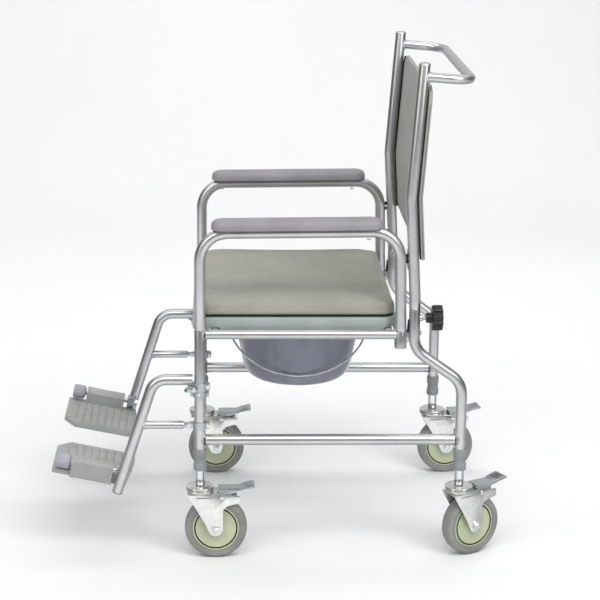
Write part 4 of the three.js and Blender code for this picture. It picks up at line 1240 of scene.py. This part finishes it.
cushion = stand_in("seat_cushion", cushion_start(), "seat_vinyl", "cushion", sharp=70)
filled(cushion, 2.4, 0.0035, (low("seat_cushion").z + 3.2) * MM)
finish_cushion(cushion)
smoothing = cushion.modifiers.new("smooth", "SUBSURF")
smoothing.levels = smoothing.render_levels = 1
cushion.data.polygons.foreach_set("use_smooth", [True] * len(cushion.data.polygons))


# ------------------------------------------------------------------ seat frame, pail and bail
def seat_frame():
    """Two cross tubes and the pail's two angle runners."""
    shape = Shape()
    reach = high("seat_cross_frame").x
    for y in CROSS_YS:
        shape.join(bar("x", SMALL_TUBE, -reach, reach, y=y, z=SEAT_RAIL_Z, sides=36))
    bottom = low("seat_cross_frame").z
    for s in (-1, 1):
        a, b = sorted((s * 149.5, s * 152.5))
        shape.join(block(a, b, CROSS_YS[0] - 4, CROSS_YS[1] + 4, bottom, SEAT_RAIL_Z - 4, edge=0.6))
        a, b = sorted((s * 140, s * 151.5))
        shape.join(block(a, b, CROSS_YS[0] - 4, CROSS_YS[1] + 4, bottom, bottom + 3, edge=0.6))
    return shape


def pail():
    """The pail: a thin shell with a rolled rim and the bail's two ears."""
    rim, bottom = high("pail").z, low("pail").z
    profile = [
        (60, bottom + 1.2), (78, bottom), (87, bottom + 0.4), (96.5, bottom + 3.2), (104, bottom + 9),
        (109.4, bottom + 17.5), (114, bottom + 31), (123.6, rim - 64), (131.6, rim - 21), (133.4, rim - 20.2),
        (134.4, rim - 9), (135.6, rim - 6.4), (143.6, rim - 5.8), (145.6, rim - 5.0), (146, rim - 3.4),
        (145.6, rim - 1.2), (144, rim), (136, rim), (133.8, rim - 0.8), (132.4, rim - 3), (111.6, bottom + 31),
        (105.6, bottom + 16), (97, bottom + 6.4), (85, bottom + 2.6), (60, bottom + 2.6),
    ]
    shell = lathe(profile, 128)
    ears = Shape()
    for s in (-1, 1):
        a, b = sorted((s * 131.5, s * 145))
        ears.join(bar("y", 6, a, b, z=rim - 14, sides=28, edge=1.0))
    return shell.moved(shift(0, PAIL_Y)).join(ears.moved(shift(0, PAIL_Y)))


def bail():
    """The wire bow between the ears, hanging on the pail's +X side."""
    droop = math.radians(39.4)
    out = Vector((math.cos(droop), 0, -math.sin(droop)))
    pivot = Vector((0, PAIL_Y, high("pail").z - 14))
    line = [pivot + Vector((0, -139.5, 0)), pivot + Vector((0, -147, 0))]
    for k in range(1, 48):
        a = math.pi * k / 48
        line.append(pivot + Vector((0, -148 * math.cos(a), 0)) + out * 153 * math.sin(a))
    line += [pivot + Vector((0, 147, 0)), pivot + Vector((0, 139.5, 0))]
    return tube(line, 2, 16, 0.4)


stand_in("seat_cross_frame", seat_frame(), "silver_tube", "frame")
stand_in("pail", pail(), "pail_plastic", "pail")
stand_in("pail_bail", bail(), "bright_zinc", "bail")


# ------------------------------------------------------------------ stage, camera and light
def stage_surface(name, colour):
    n = Nodes(name)
    tone = n.mix(n.spread(n.noise(1.2), 0, 1, 0.3, 0.7), linear(colour), linear(shade(colour, 0.985)))
    n.link(tone, n.shader.inputs["Base Color"])
    n.shader.inputs["Roughness"].default_value = 0.8
    n.shader.inputs["Specular IOR Level"].default_value = 0.2
    return n.material


def sweep_backdrop():
    """Pale floor that curves up into the wall behind the chair, away from the camera."""
    profile = [(5.0, 0.0), (-2.6, 0.0)]
    for k in range(1, 13):
        a = math.radians(90 * k / 12)
        profile.append((-2.6 - 1.4 * math.sin(a), 1.4 * (1 - math.cos(a))))
    profile.append((-4.0, 6.0))
    verts = [(x, y, z) for x, z in profile for y in (-7.0, 7.0)]
    faces = [(2 * i, 2 * i + 1, 2 * i + 3, 2 * i + 2) for i in range(len(profile) - 1)]
    mesh = bpy.data.meshes.new("backdrop")
    mesh.from_pydata(verts, [], faces)
    mesh.polygons.foreach_set("use_smooth", [True] * len(faces))
    mesh.materials.append(stage_surface("backdrop", (244, 244, 244)))
    backdrop = bpy.data.objects.new("backdrop", mesh)
    backdrop.visible_glossy = False
    scene.collection.objects.link(backdrop)


def lamp(name, place, target, size, power):
    """A white soft box at place, facing target; positions in metres."""
    data = bpy.data.lights.new(name, "AREA")
    data.shape = "RECTANGLE"
    data.size, data.size_y = size
    data.energy = power
    made = bpy.data.objects.new(name, data)
    made.location = place
    made.rotation_euler = (Vector(target) - Vector(place)).to_track_quat("-Z", "Y").to_euler()
    scene.collection.objects.link(made)


# Metres; yaw, downward pitch and roll in degrees; millimetres; share of the sensor.
CAMERA_PLACE = (3.7423, -0.1274, 1.4943)
CAMERA_TURN = (-0.662, 13.476, 0.169)
CAMERA_LENS = 111.28
CAMERA_SHIFT = (0.1, -0.1)


def camera():
    """The photo's camera, looking along -X."""
    yaw, pitch, roll = (math.radians(d) for d in CAMERA_TURN)
    look = Vector((-math.cos(yaw) * math.cos(pitch), -math.sin(yaw) * math.cos(pitch), -math.sin(pitch)))
    right = look.cross(Vector((0, 0, 1))).normalized()
    up = right.cross(look)
    across = right * math.cos(roll) + up * math.sin(roll)
    above = up * math.cos(roll) - right * math.sin(roll)
    data = bpy.data.cameras.new("camera")
    data.sensor_width = 36
    data.lens = CAMERA_LENS
    data.shift_x, data.shift_y = CAMERA_SHIFT
    made = bpy.data.objects.new("camera", data)
    made.matrix_world = Matrix((
        (across.x, above.x, -look.x, CAMERA_PLACE[0]),
        (across.y, above.y, -look.y, CAMERA_PLACE[1]),
        (across.z, above.z, -look.z, CAMERA_PLACE[2]),
        (0, 0, 0, 1),
    ))
    scene.collection.objects.link(made)
    scene.camera = made


def studio_world():
    """Even white for what the camera sees past the floor; for reflections a pale ceiling, floor and far
    wall round a darker room."""
    world = bpy.data.worlds.new("studio")
    world.use_nodes = True
    nodes, links = world.node_tree.nodes, world.node_tree.links
    split = nodes.new("ShaderNodeSeparateXYZ")
    links.new(nodes.new("ShaderNodeTexCoord").outputs["Generated"], split.inputs[0])

    def ramp(axis, start, end, low, high):
        node = nodes.new("ShaderNodeMapRange")
        node.interpolation_type = "SMOOTHSTEP"
        for key, number in zip(("From Min", "From Max", "To Min", "To Max"), (start, end, low, high)):
            node.inputs[key].default_value = number
        links.new(split.outputs[axis], node.inputs["Value"])
        return node.outputs["Result"]

    def maths(operation, a, b):
        node = nodes.new("ShaderNodeMath")
        node.operation = operation
        links.new(a, node.inputs[0])
        links.new(b, node.inputs[1])
        return node.outputs[0]

    floor = maths("MULTIPLY", ramp("Z", -0.10, -0.24, 0.0, 1.0), ramp("X", -0.4, 0.95, 0.34, 1.25))
    glow = maths("MULTIPLY", ramp("Z", 0.2, 0.6, 0.0, 1.0), ramp("X", -0.2, 0.7, 0.22, 0.8))
    total = maths("ADD", maths("ADD", floor, glow), ramp("X", -0.5, -0.9, 0.07, 0.62))
    lit = nodes["Background"]
    links.new(total, lit.inputs["Strength"])
    lit.inputs["Color"].default_value = (0.975, 0.98, 1.0, 1.0)
    plain = nodes.new("ShaderNodeBackground")
    plain.inputs["Color"].default_value = (0.90, 0.905, 0.915, 1.0)
    plain.inputs["Strength"].default_value = 1.0
    mix = nodes.new("ShaderNodeMixShader")
    links.new(nodes.new("ShaderNodeLightPath").outputs["Is Camera Ray"], mix.inputs["Fac"])
    links.new(lit.outputs[0], mix.inputs[1])
    links.new(plain.outputs[0], mix.inputs[2])
    links.new(mix.outputs[0], nodes["World Output"].inputs["Surface"])
    scene.world = world


sweep_backdrop()
camera()
lamp("key", (1.9, 1.8, 2.1), (0, 0, 0.5), (1.0, 2.0), 26)
lamp("left", (2.3, -2.4, 1.9), (0, 0, 0.5), (1.0, 2.2), 18)
lamp("top", (2.0, 0.2, 2.9), (0.1, 0, 0.3), (3.0, 1.0), 44)
lamp("wall", (-0.9, 0.0, 3.0), (-3.0, 0, 0.7), (5.0, 1.6), 60)
studio_world()
scene.view_settings.view_transform = "Standard"
